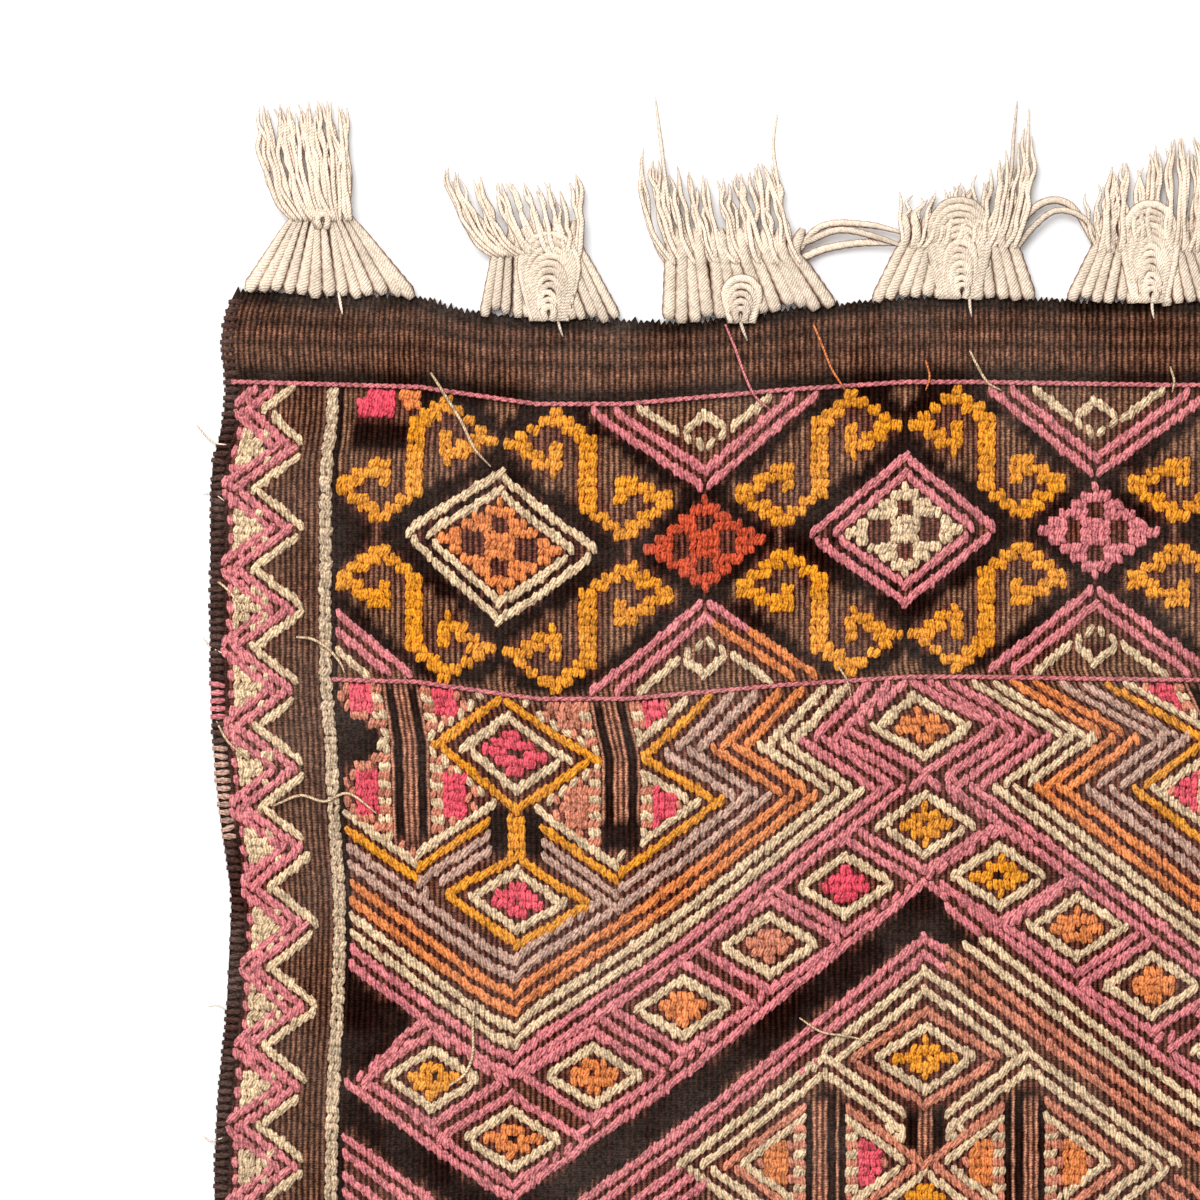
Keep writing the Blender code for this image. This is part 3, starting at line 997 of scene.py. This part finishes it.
def close_underneath(thing, width, rows, stride=12):
    """Walls down to the floor and a coarser underside, so that the sheet is closed."""
    bm = bmesh.new()
    bm.from_mesh(thing.data)
    bm.verts.ensure_lookup_table()
    under = {}
    for r in range(0, rows + 1, stride):
        for c in range(width):
            co = bm.verts[r * width + c].co
            under[r, c] = (co.x, co.y, 0.0)
    lower = {key: bm.verts.new(co) for key, co in under.items()}
    bm.verts.ensure_lookup_table()
    for r in range(0, rows, stride):
        for c in range(width - 1):
            bm.faces.new((lower[r, c], lower[r + stride, c], lower[r + stride, c + 1], lower[r, c + 1]))
        for c, flip in ((0, False), (width - 1, True)):
            side = [bm.verts[(r + n) * width + c] for n in range(stride + 1)]
            loop = [lower[r, c], *side, lower[r + stride, c]]
            bm.faces.new(loop[::-1] if flip else loop)
    for r, flip in ((0, True), (rows, False)):
        for c in range(width - 1):
            loop = [lower[r, c], lower[r, c + 1], bm.verts[r * width + c + 1], bm.verts[r * width + c]]
            bm.faces.new(loop if flip else loop[::-1])
    bmesh.ops.recalc_face_normals(bm, faces=bm.faces)
    bm.to_mesh(thing.data)
    bm.free()


# The header's stripes: (row, how light).
HEADER_STRIPES = (
    (95.6, 0.10), (96.2, 0.12), (97.4, 0.72), (98.6, 1.0), (99.7, 0.38), (100.9, 0.98),
    (102.1, 0.32), (103.2, 0.8), (104.4, 0.12), (106.0, 0.08),
)


def brocade_share():
    """How much of the surroundings of every rib in every row is brocade, from 0 to 1."""
    raised = np.array([[found[0] not in GROUND for found in row] for row in chart()], float)
    rows, ribs = raised.shape
    padded = np.pad(raised, ((1, 1), (2, 2)))
    total = np.zeros_like(raised)
    for down in range(3):
        for right, weight in enumerate((0.6, 1.0, 1.0, 1.0, 0.6)):
            total += weight * padded[down : down + rows, right : right + ribs]
    return np.clip((total - 2.2) / 3.0, 0, 1)


def colour_ground(mesh, grid_i, grid_j, crest):
    """The colour of every point of the ground, as a colour attribute: its dyes, darkened with painted
    shade between brocade lines; and its ribs' height, from which the material paints shade between the
    ribs.
    """
    dice = np.random.default_rng(5)
    rows, columns = grid_i.shape
    share = brocade_share()
    rib_level = dice.normal(1.0, 0.12, columns)
    colours = np.ones((rows, columns, 4), np.float32)
    tones = {name: np.array(colour) for name, colour in GROUND_TONES.items()}
    ribs = np.clip(np.round(grid_i[0] * 2).astype(int) + RIBS_EACH_SIDE, 0, 2 * RIBS_EACH_SIDE)
    for r, j in enumerate(grid_j[:, 0]):
        if abs(j) >= HEADER_START:
            colours[r, :, :3] = tones["header"] * np.interp(abs(j), *zip(*HEADER_STRIPES))
            continue
        row = round(j) + LAST_ROW
        for c, rib in enumerate(ribs):
            yarn = chart()[row][rib][0]
            # Plain ground goes towards the 'under' tone as brocade closes round it: painted shade of
            # the raised lines.
            plain = mix(tones["brown"], tones["under"], share[row, rib])
            colours[r, c, :3] = tones[yarn] if yarn in ("black", "tan", "umber") else plain
    relief = rib_level * dice.normal(1.0, 0.2, (rows, columns))
    colours[..., :3] *= np.clip(relief, 0.5, 1.6)[..., None]
    layer = mesh.color_attributes.new("dye", "FLOAT_COLOR", "POINT")
    layer.data.foreach_set("color", colours.ravel())
    give_values(mesh, "rib", np.tile(crest, rows))


def lay_brocade(sizes):
    """The raised motifs, one joined mesh of stitches for each yarn."""
    base = model_stitch()
    dice = np.random.default_rng(3)
    for yarn, stitches in sorted(stitches_by_yarn().items()):
        i, j, off, lean = np.array(stitches, float).T
        count = len(i)
        x, y = place(i + dice.normal(0, 0.02, count), j + off)
        leaning = lean != 0
        slant = np.where(leaning, lean, np.where(j % 2 == 0, 1, -1))
        ahead_x, ahead_y = place(i + np.where(leaning, 0.15, 0.08), j + off + 0.5 * slant)
        run_x, run_y = ahead_x - x, ahead_y - y
        angle = dice.normal(0, 0.16, count)
        length = np.where(leaning, sizes.stitch_length, sizes.fill_length)
        beads = (
            x + dice.normal(0, 0.00014, count),
            y + dice.normal(0, 0.0003, count),
            sizes.crest - STITCH_SUNK + dice.normal(0, 0.0001, count),
            run_x * np.cos(angle) - run_y * np.sin(angle),
            run_x * np.sin(angle) + run_y * np.cos(angle),
            length * dice.normal(1.0, 0.09, count),
            sizes.stitch_width * dice.normal(1.0, 0.08, count),
            STITCH_SUNK + sizes.stitch_height * dice.normal(1.0, 0.12, count),
        )
        piece = bead_mesh(f"brocade_{yarn}", np.stack(beads, axis=1), base, dice.random(count))
        finish_piece(piece, yarn_material(yarn))


def tube(path, radius, sides, lobes, twist, flatten):
    """Arrays of a yarn along a path: points, triangles, UV places in millimetres, and how far
    each point is to the yarn's side."""
    count = len(path)
    radius = np.broadcast_to(radius, count)
    ahead = np.gradient(path, axis=0)
    ahead /= np.linalg.norm(ahead, axis=1)[:, None] + 1e-12
    side = np.cross(ahead, (0.0, 0.0, 1.0))
    length = np.linalg.norm(side, axis=1)[:, None]
    side = np.where(length > 1e-3, side / (length + 1e-12), (1.0, 0.0, 0.0))
    over = np.cross(side, ahead)
    steps = np.linalg.norm(np.diff(path, axis=0), axis=1)
    run = np.concatenate(([0.0], np.cumsum(steps)))
    turn = np.linspace(0, math.tau, sides, endpoint=False)
    swell = 1 + lobes * np.cos(2 * (turn - math.tau * run[:, None] / twist))
    reach = radius[:, None] * swell
    points = (
        path[:, None, :]
        + side[:, None, :] * (np.cos(turn) * reach)[..., None]
        + over[:, None, :] * (np.sin(turn) * reach * flatten)[..., None]
    ).reshape(-1, 3)
    around = np.tile(turn * radius.mean(), count)
    uv = np.stack((np.repeat(run, sides), around), axis=1) / MM
    points = np.concatenate((points, path[:1], path[-1:]))
    uv = np.concatenate((uv, ((0, 0), (run[-1] / MM, 0))))
    aside = np.concatenate((np.tile(np.abs(np.cos(turn)), count), (0.0, 0.0)))

    k = np.arange(sides)
    after = (k + 1) % sides
    start = (np.arange(count - 1) * sides)[:, None]
    a, b = (start + k).ravel(), (start + after).ravel()
    last = (count - 1) * sides
    triangles = (
        (a, a + sides, b + sides),
        (a, b + sides, b),
        (k, after, np.full(sides, count * sides)),
        (after + last, k + last, np.full(sides, count * sides + 1)),
    )
    return points, np.concatenate([np.stack(corners, axis=1) for corners in triangles]), uv, aside


def yarns_mesh(name, yarns, sides=6, lobes=0.0, twist=0.011, flatten=1.0):
    """One joined mesh of yarns: each is (path, radius, tint)."""
    parts = []
    start = 0
    for path, radius, tint in yarns:
        points, triangles, uv, aside = tube(path, radius, sides, lobes, twist, flatten)
        parts.append((points, triangles + start, uv + tint * 131.0, aside, np.full(len(points), tint)))
        start += len(points)
    points, triangles, uv, aside, tints = (np.concatenate(arrays) for arrays in zip(*parts))
    points[:, 2] = np.maximum(points[:, 2], LOWEST)
    thing = mesh_of(name, points, triangles)
    give_uv(thing.data, uv)
    give_values(thing.data, "tint", tints)
    # The yarn materials paint shade down the sides by this.
    give_values(thing.data, "aside", aside)
    return thing


def curve_through(points, step):
    """Evenly spaced points on a smooth curve through the given ones."""
    points = np.asarray(points, float)
    padded = np.concatenate(([2 * points[0] - points[1]], points, [2 * points[-1] - points[-2]]))
    t = np.linspace(0, 1, 12, endpoint=False)[:, None]
    out = []
    for p0, p1, p2, p3 in zip(padded, padded[1:], padded[2:], padded[3:]):
        squared = 2 * p0 - 5 * p1 + 4 * p2 - p3
        cubed = 3 * p1 - p0 - 3 * p2 + p3
        out.append(0.5 * (2 * p1 + (p2 - p0) * t + squared * t**2 + cubed * t**3))
    out = np.concatenate((*out, points[-1:]))
    run = np.concatenate(([0.0], np.cumsum(np.linalg.norm(np.diff(out, axis=0), axis=1))))
    even = np.linspace(0, run[-1], max(3, int(run[-1] / step) + 1))
    return np.stack([np.interp(even, run, out[:, axis]) for axis in range(3)], axis=1)


def tapered(path, places, widths):
    """A share of a yarn's thickness for each point of its path, through widths at places on it."""
    return np.interp(np.linspace(0, 1, len(path)), places, widths)


def twine_lines(sizes):
    """The twined pink lines on both sides of each band."""
    twines = []
    for row, reach in ((BAND_TOP, 60.2), (BAND_FOOT, 50.2)):
        for end in (1, -1):
            across = np.arange(-reach, reach, 0.3)
            x, y = place(across, np.full(len(across), row * end))
            for phase in (0.0, math.pi):
                turn = across * CELL / TWINE_PITCH * math.tau + phase
                z = sizes.crest + 0.0004 + np.cos(turn) * 0.0004
                path = np.stack((x, y + np.sin(turn) * 0.0006, z), axis=1)
                twines.append((path, 0.00085, 0.5 + 0.1 * math.cos(phase)))
    piece = yarns_mesh("twined_lines", twines)
    finish_piece(piece, yarn_material("pink"))


def wrap_side_edges():
    """The weft's turns round the outermost warps, with their patches of other yarns."""
    base = model_stitch()
    dice = np.random.default_rng(8)
    wraps = {"edge_brown": [], "pink": [], "taupe": []}
    for side in (-1, 1):
        for j in np.arange(-HEAD_END + 1, HEAD_END - 0.5, 0.92):
            x, y = place(side * 60.15, j)
            found = [yarn for start, end, yarn in EDGE_PATCHES if start < -side * j < end]
            turn, length = dice.normal(0, 0.12), 0.0046 * dice.normal(1, 0.06)
            wrap = (float(x), float(y), EDGE_HEIGHT, 1.0, turn, length, 0.0019, 0.0026)
            wraps[(found or ["edge_brown"])[0]].append(wrap)
    for yarn, beads in wraps.items():
        piece = bead_mesh(f"edge_wraps_{yarn}", beads, base, dice.random(len(beads)))
        finish_piece(piece, yarn_material(yarn))


# The tassels, in millimetres: where the fan, the waist and the brush start and end across, the
# waist's place along, the brush's length at its left, middle and right, and the turned-over
# lobe's middle, top, half width and foot.
TASSEL_COLUMNS = (
    "fan_left", "fan_right", "waist_left", "waist_right", "waist_y", "tip_left", "tip_right",
    "left_y", "mid_y", "right_y", "lobe_x", "lobe_top", "lobe_half", "lobe_foot",
)
TASSELS = (
    (-342.0, -253.0, -315.0, -287.0, 498.0, -334.0, -291.0, 549.0, 552.0, 553.0, -301, 497, 4, 487),
    (-223.0, -152.0, -216.0, -172.0, 480.0, -242.0, -176.0, 521.0, 512.0, 516.0, -188, 485, 15, 441),
    (-132.0, -44.0, -130.0, -62.0, 476.0, -144.0, -74.0, 530.0, 516.0, 528.0, -92, 463, 9, 440),
    (-28.0, 55.0, -12.0, 44.0, 484.0, -6.0, 56.0, 508.0, 515.0, 544.0, 17, 502, 16, 452),
    (70.0, 148.0, 84.0, 136.0, 482.0, 84.0, 142.0, 511.0, 530.0, 534.0, 112, 500, 14, 450),
    (173.0, 252.0, 188.0, 236.0, 482.0, 178.0, 242.0, 523.0, 538.0, 527.0, 213, 492, 12, 449),
    (265.0, 342.0, 281.0, 324.0, 490.0, 276.0, 334.0, 532.0, 549.0, 537.0, 303, 489, 5, 478),
)
# Single ends that left the head's tassels: half thickness, then points (x, y, height), in
# millimetres.
STRAY_ENDS = (
    (1.1, ((-126, 478, 3), (-129, 505, 4), (-132, 530, 3), (-135, 554, 2))),
    (1.0, ((-72, 478, 3), (-73, 505, 4), (-76, 528, 3), (-74, 545, 2))),
    (1.1, ((34, 484, 3), (42, 512, 4), (44, 534, 3), (46, 552, 2))),
    (1.1, ((38, 482, 3), (49, 510, 4), (51, 532, 3), (52, 549, 2))),
    (2.0, ((-66, 474, 3), (-52, 489, 4), (-30, 490, 4), (-8, 485, 4))),
    (2.2, ((-64, 472, 3), (-50, 478, 3), (-30, 481, 4), (-8, 480, 4))),
    (1.9, ((-62, 480, 4), (-44, 487, 6), (-26, 484, 6), (-6, 477, 4))),
    (2.2, ((38, 474, 3), (50, 494, 4), (62, 502, 4), (74, 498, 4), (84, 480, 3))),
    (1.8, ((42, 474, 3), (54, 489, 5), (66, 497, 5), (80, 492, 5), (88, 476, 3))),
    (0.9, ((-293, 456, 5), (-292, 450, 4), (-291, 445, 4))),
    (0.9, ((-184, 448, 5), (-183, 440, 4), (-181, 434, 4))),
    (1.1, ((-93, 448, 5), (-92, 440, 5), (-89, 432, 4))),
    (0.9, ((22, 456, 5), (22, 450, 5), (23, 444, 4))),
    (0.9, ((113, 454, 5), (113, 448, 5), (114, 443, 4))),
)


def fan_strands(t, count, dice):
    """The thick strands of a tassel's fan, which lie side by side from the cloth to the waist."""
    strands = []
    root_half = (t["fan_right"] - t["fan_left"]) / count / 2 * 1.16
    waist_half = max((t["waist_right"] - t["waist_left"]) / count / 2 * 1.3, 0.0014)
    waist_y = t["waist_y"]
    for k in range(count):
        share = (k + 0.5) / count
        root_x = mix(t["fan_left"], t["fan_right"], share) + dice.normal(0, 0.0004)
        root_y = float(smooth(HEAD_EDGE, root_x)) - 0.0002 + dice.normal(0, 0.0009)
        waist_x = mix(t["waist_left"], t["waist_right"], share) + dice.normal(0, 0.0006)
        points = (
            (root_x, root_y, 0.0030),
            (mix(root_x, waist_x, 0.3), mix(root_y, waist_y, 0.3), 0.0030),
            (mix(root_x, waist_x, 0.7), mix(root_y, waist_y, 0.7), 0.0034),
            (waist_x, waist_y, 0.0042 + 0.0012 * (k % 2)),
            (waist_x + dice.normal(0, 0.002), waist_y + 0.012, 0.0036),
        )
        path = curve_through(points, 0.0022)
        radius = mix(waist_half, root_half, tapered(path, (0, 0.06, 0.7, 1), (0.6, 1, 0, 0)))
        radius *= tapered(path, (0, 0.04, 0.9, 1), (0.7, 1, 1, 0.5)) * dice.normal(1, 0.04)
        strands.append((path, radius, dice.uniform(0, 0.45)))
    return strands


def brush_yarns(t, count, dice):
    """The thinner, crinkled yarns of a tassel's brush, from its waist to their tips."""
    yarns = []
    foot_y = t["waist_y"] - 0.006
    for k in range(count):
        share = (k + 0.5) / count
        waist_x = mix(t["waist_left"], t["waist_right"], share) + dice.normal(0, 0.0008)
        tip_share = min(max(share + dice.normal(0, 0.05), 0), 1)
        tip_x = mix(t["tip_left"], t["tip_right"], tip_share) + dice.normal(0, 0.0022)
        tip_y = (
            t["left_y"] * (2 * tip_share - 1) * (tip_share - 1)
            + t["mid_y"] * 4 * tip_share * (1 - tip_share)
            + t["right_y"] * tip_share * (2 * tip_share - 1)
        ) - abs(dice.normal(0, 0.006))
        points = []
        for step in np.linspace(0, 1, 8):
            wander = dice.normal(0, 0.0009) * (0.3 + step)
            bow = 0.0022 * math.sin(step * math.pi) * (0.5 - share) * 2
            x = mix(waist_x, tip_x, step**0.6) + wander - bow
            high = np.interp(step, (0, 0.2, 0.7, 1), (0.0030, 0.0050, 0.0036, 0.0022))
            points.append((x, mix(foot_y, tip_y, step), high + 0.0012 * (k % 3) * (1 - step)))
        path = curve_through(points, YARN_STEP)
        radius = dice.uniform(0.0011, 0.0017) * tapered(path, (0, 0.1, 0.8, 1), (0.8, 1, 0.85, 0.25))
        yarns.append((path, radius, dice.uniform(0.6, 1.0)))
    return yarns


def lobe_yarns(t, dice):
    """The turned-over lobe of a loose knot: arches stacked on one another."""
    yarns = []
    foot, first_top = t["lobe_foot"] + 0.001, t["lobe_foot"] + 0.008
    count = max(3, round((t["lobe_top"] - first_top) / 0.0032))
    for k in range(count):
        share = k / (count - 1)
        top = mix(first_top, t["lobe_top"], share)
        reach = mix(0.0028, t["lobe_half"], share**1.4)
        x = t["lobe_x"] + dice.normal(0, 0.0004)
        high = mix(0.0064, 0.0054, share)
        rise = top - foot
        arch = ((0.55, 0.0, -0.0016), (0.95, 0.62, -0.0004), (0.6, 0.92, 0.0))
        left = [(x - reach * out, foot + rise * up, high + lift) for out, up, lift in arch]
        right = [(2 * x - px, py, pz) for px, py, pz in reversed(left)]
        path = curve_through((*left, (x, top, high), *right), YARN_STEP)
        yarns.append((path, 0.0021 * dice.normal(1, 0.08), dice.random()))
    return yarns


def knot_fringe(end, turn, sizes):
    """The warp ends of one end's tassels."""
    dice = np.random.default_rng(22 + turn)
    yarns = []
    for row in TASSELS:
        t = {key: value * MM for key, value in zip(TASSEL_COLUMNS, row)}
        yarns += fan_strands(t, sizes.strands, dice)
        yarns += brush_yarns(t, round(sizes.strands * sizes.brush_yarns), dice)
        yarns += lobe_yarns(t, dice)
    if turn > 0:
        for half, points in STRAY_ENDS:
            path = curve_through(np.array(points) * MM, YARN_STEP)
            radius = half * MM * tapered(path, (0, 0.1, 0.7, 1), (0.6, 1, 0.9, 0.4))
            yarns.append((path, radius, dice.random()))
    yarns = [(path * (turn, turn, 1), radius, tint) for path, radius, tint in yarns]
    shape = {"sides": 7, "lobes": 0.08, "twist": sizes.twist_length, "flatten": 0.72}
    return finish_piece(yarns_mesh(f"{end}_fringe", yarns, **shape), yarn_material("ivory"))


# Loose yarn ends that lie on the cloth: yarn, half thickness, then points (x, y), in millimetres.
LOOSE_ENDS = (
    ("cream", 0.9, ((-247, 416), (-240, 405), (-232, 392), (-225, 378), (-217, 369))),
    ("pink", 0.8, ((-100, 440), (-95, 428), (-90, 414), (-85, 404), (-77, 397))),
    ("orange", 0.7, ((-56, 440), (-51, 428), (-47, 418), (-40, 407))),
    ("orange", 0.6, ((0, 422), (2, 414), (0, 407))),
    ("cream", 0.8, ((22, 427), (26, 419), (31, 411), (38, 407))),
    ("cream", 0.7, ((122, 419), (124, 412), (123, 406))),
    ("cream", 0.8, ((-314, 284), (-306, 283), (-298, 278), (-292, 271), (-290, 266))),
    ("cream", 0.7, ((-357, 314), (-351, 310), (-346, 305), (-341, 297), (-340, 290))),
    ("cream", 0.7, ((-354, 242), (-349, 233), (-344, 228), (-337, 222))),
    ("cream", 0.8, ((-325, 200), (-312, 205), (-300, 202), (-288, 206), (-274, 196))),
    ("cream", 0.8, ((-238, 60), (-230, 66), (-226, 76), (-226, 90), (-225, 103))),
    ("cream", 0.6, ((-63, 94), (-52, 87), (-40, 85), (-27, 82))),
    ("cream", 0.6, ((-44, 270), (-39, 262), (-37, 253))),
    ("ivory", 0.5, ((-349, 380), (-355, 381), (-360, 385), (-364, 390))),
    ("ivory", 0.4, ((-350, 352), (-356, 356), (-361, 355))),
    ("ivory", 0.4, ((-351, 276), (-357, 279), (-361, 284))),
    ("ivory", 0.4, ((-349, 98), (-354, 100), (-359, 99))),
    ("ivory", 0.4, ((-351, 34), (-357, 32), (-361, 35))),
)


def leave_loose_ends(sizes):
    """The yarn ends that lie loose on the cloth, and over its left edge down to the floor."""
    groups = {}
    high = sizes.crest + 0.0020
    for yarn, half, points in LOOSE_ENDS:
        lifted = [(x * MM, y * MM, np.interp(-x, (349, 358), (high, 0.0008))) for x, y in points]
        path = curve_through(lifted, 0.002)
        radius = half * MM * tapered(path, (0, 0.2, 0.8, 1), (0.7, 1, 0.9, 0.4))
        groups.setdefault(yarn, []).append((path, radius, 0.6))
    for yarn, yarns in groups.items():
        piece = yarns_mesh(f"loose_ends_{yarn}", yarns)
        finish_piece(piece, yarn_material(yarn))


def set_stage(scene):
    """The floor, the light and the camera straight above, as in the photograph."""
    sizes = scene.kilim_stage
    bpy.ops.object.select_all(action="DESELECT")
    bpy.ops.mesh.primitive_plane_add(size=sizes.floor_size, location=(0, 0, -0.0002))
    floor = bpy.context.object
    floor.name = "floor"
    paper = bpy.data.materials.new("floor_white")
    paper.use_nodes = True
    surface = paper.node_tree.nodes["Principled BSDF"]
    feed(paper.node_tree, surface, {"Base Color": (0.93, 0.93, 0.94, 1), "Roughness": 0.9})
    floor.data.materials.append(paper)
    world = bpy.data.worlds.new("studio")
    world.use_nodes = True
    background = world.node_tree.nodes["Background"]
    feed(world.node_tree, background, {"Color": (1.0, 1.0, 1.0, 1), "Strength": 0.6})
    scene.world = world
    for name, energy, size, at in (
        ("softbox_head", 78.0, 2.2, (-0.8, 2.0, 2.2)),
        ("softbox_left", 24.0, 1.6, (-2.2, 0.2, 1.8)),
    ):
        light = bpy.data.lights.new(name, "AREA")
        light.energy = energy
        light.size = size
        lamp = bpy.data.objects.new(name, light)
        lamp.location = at
        lamp.rotation_euler = (-Vector(at)).to_track_quat("-Z", "Y").to_euler()
        scene.collection.objects.link(lamp)
    camera = bpy.data.cameras.new("camera")
    camera.sensor_width = 36.0
    camera.lens = camera.sensor_width * sizes.camera_height / sizes.view_width
    camera.clip_end = 20.0
    viewer = bpy.data.objects.new("camera", camera)
    viewer.location = (*VIEW_CENTRE, sizes.camera_height)
    scene.collection.objects.link(viewer)
    scene.camera = viewer
    scene.view_settings.view_transform = "Standard"


# ---------------------------------------------------------------- the add-on


class KILIM_OT_ground(bpy.types.Operator):
    """Weave the ribbed ground in place of the plain cloth"""

    bl_idname = "kilim.ground"
    bl_label = "Weave the ground"

    def execute(self, context):
        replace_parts(weave_ground(context.scene.kilim_weave), "woven_cloth")
        return {"FINISHED"}


class KILIM_OT_brocade(bpy.types.Operator):
    """Lay the raised stitches of the motifs on the ground"""

    bl_idname = "kilim.brocade"
    bl_label = "Lay the brocade"

    def execute(self, context):
        lay_brocade(context.scene.kilim_weave)
        return {"FINISHED"}


class KILIM_OT_edges(bpy.types.Operator):
    """Wrap the side edges and twine the lines beside the bands"""

    bl_idname = "kilim.edges"
    bl_label = "Finish the edges"

    def execute(self, context):
        twine_lines(context.scene.kilim_weave)
        wrap_side_edges()
        return {"FINISHED"}


class KILIM_OT_fringe(bpy.types.Operator):
    """Ply and knot the warp ends of the fringe in place of the plain tassels"""

    bl_idname = "kilim.fringe"
    bl_label = "Knot the fringe"

    def execute(self, context):
        for end, turn in (("head", 1), ("foot", -1)):
            piece = knot_fringe(end, turn, context.scene.kilim_fringe)
            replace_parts(piece, *[f"{end}_tassel_{n}" for n in range(1, len(TASSELS) + 1)])
        return {"FINISHED"}


class KILIM_OT_loose_ends(bpy.types.Operator):
    """Leave the loose yarn ends that lie on the cloth"""

    bl_idname = "kilim.loose_ends"
    bl_label = "Leave the loose ends"

    def execute(self, context):
        leave_loose_ends(context.scene.kilim_weave)
        return {"FINISHED"}


class KILIM_OT_stage(bpy.types.Operator):
    """Set the white floor, the soft light and the camera straight above"""

    bl_idname = "kilim.stage"
    bl_label = "Set the stage"

    def execute(self, context):
        set_stage(context.scene)
        return {"FINISHED"}


OPERATORS = (
    KILIM_OT_ground,
    KILIM_OT_brocade,
    KILIM_OT_edges,
    KILIM_OT_fringe,
    KILIM_OT_loose_ends,
    KILIM_OT_stage,
)


class KILIM_PT_panel(bpy.types.Panel):
    """The rug's sizes, colours and steps"""

    bl_idname = "KILIM_PT_panel"
    bl_label = "Kilim Rug"
    bl_space_type = "VIEW_3D"
    bl_region_type = "UI"
    bl_category = "Kilim"

    def draw(self, context):
        scene = context.scene
        for group in (scene.kilim_weave, scene.kilim_yarns, scene.kilim_fringe, scene.kilim_stage):
            box = self.layout.box()
            for name in group.bl_rna.properties.keys():
                if name not in {"rna_type", "name"}:
                    box.prop(group, name)
        for step in OPERATORS:
            self.layout.operator(step.bl_idname)


GROUPS = {
    "kilim_weave": WeaveSizes,
    "kilim_yarns": YarnColours,
    "kilim_fringe": FringeSizes,
    "kilim_stage": StageSizes,
}


def register():
    for made in (*GROUPS.values(), *OPERATORS, KILIM_PT_panel):
        bpy.utils.register_class(made)
    for name, group in GROUPS.items():
        setattr(bpy.types.Scene, name, PointerProperty(type=group))


def unregister():
    for name in GROUPS:
        delattr(bpy.types.Scene, name)
    for made in reversed((*GROUPS.values(), *OPERATORS, KILIM_PT_panel)):
        bpy.utils.unregister_class(made)


def main():
    register()
    bpy.ops.kilim.ground()
    bpy.ops.kilim.brocade()
    bpy.ops.kilim.edges()
    bpy.ops.kilim.fringe()
    bpy.ops.kilim.loose_ends()
    bpy.ops.kilim.stage()


if __name__ == "__main__":
    main()
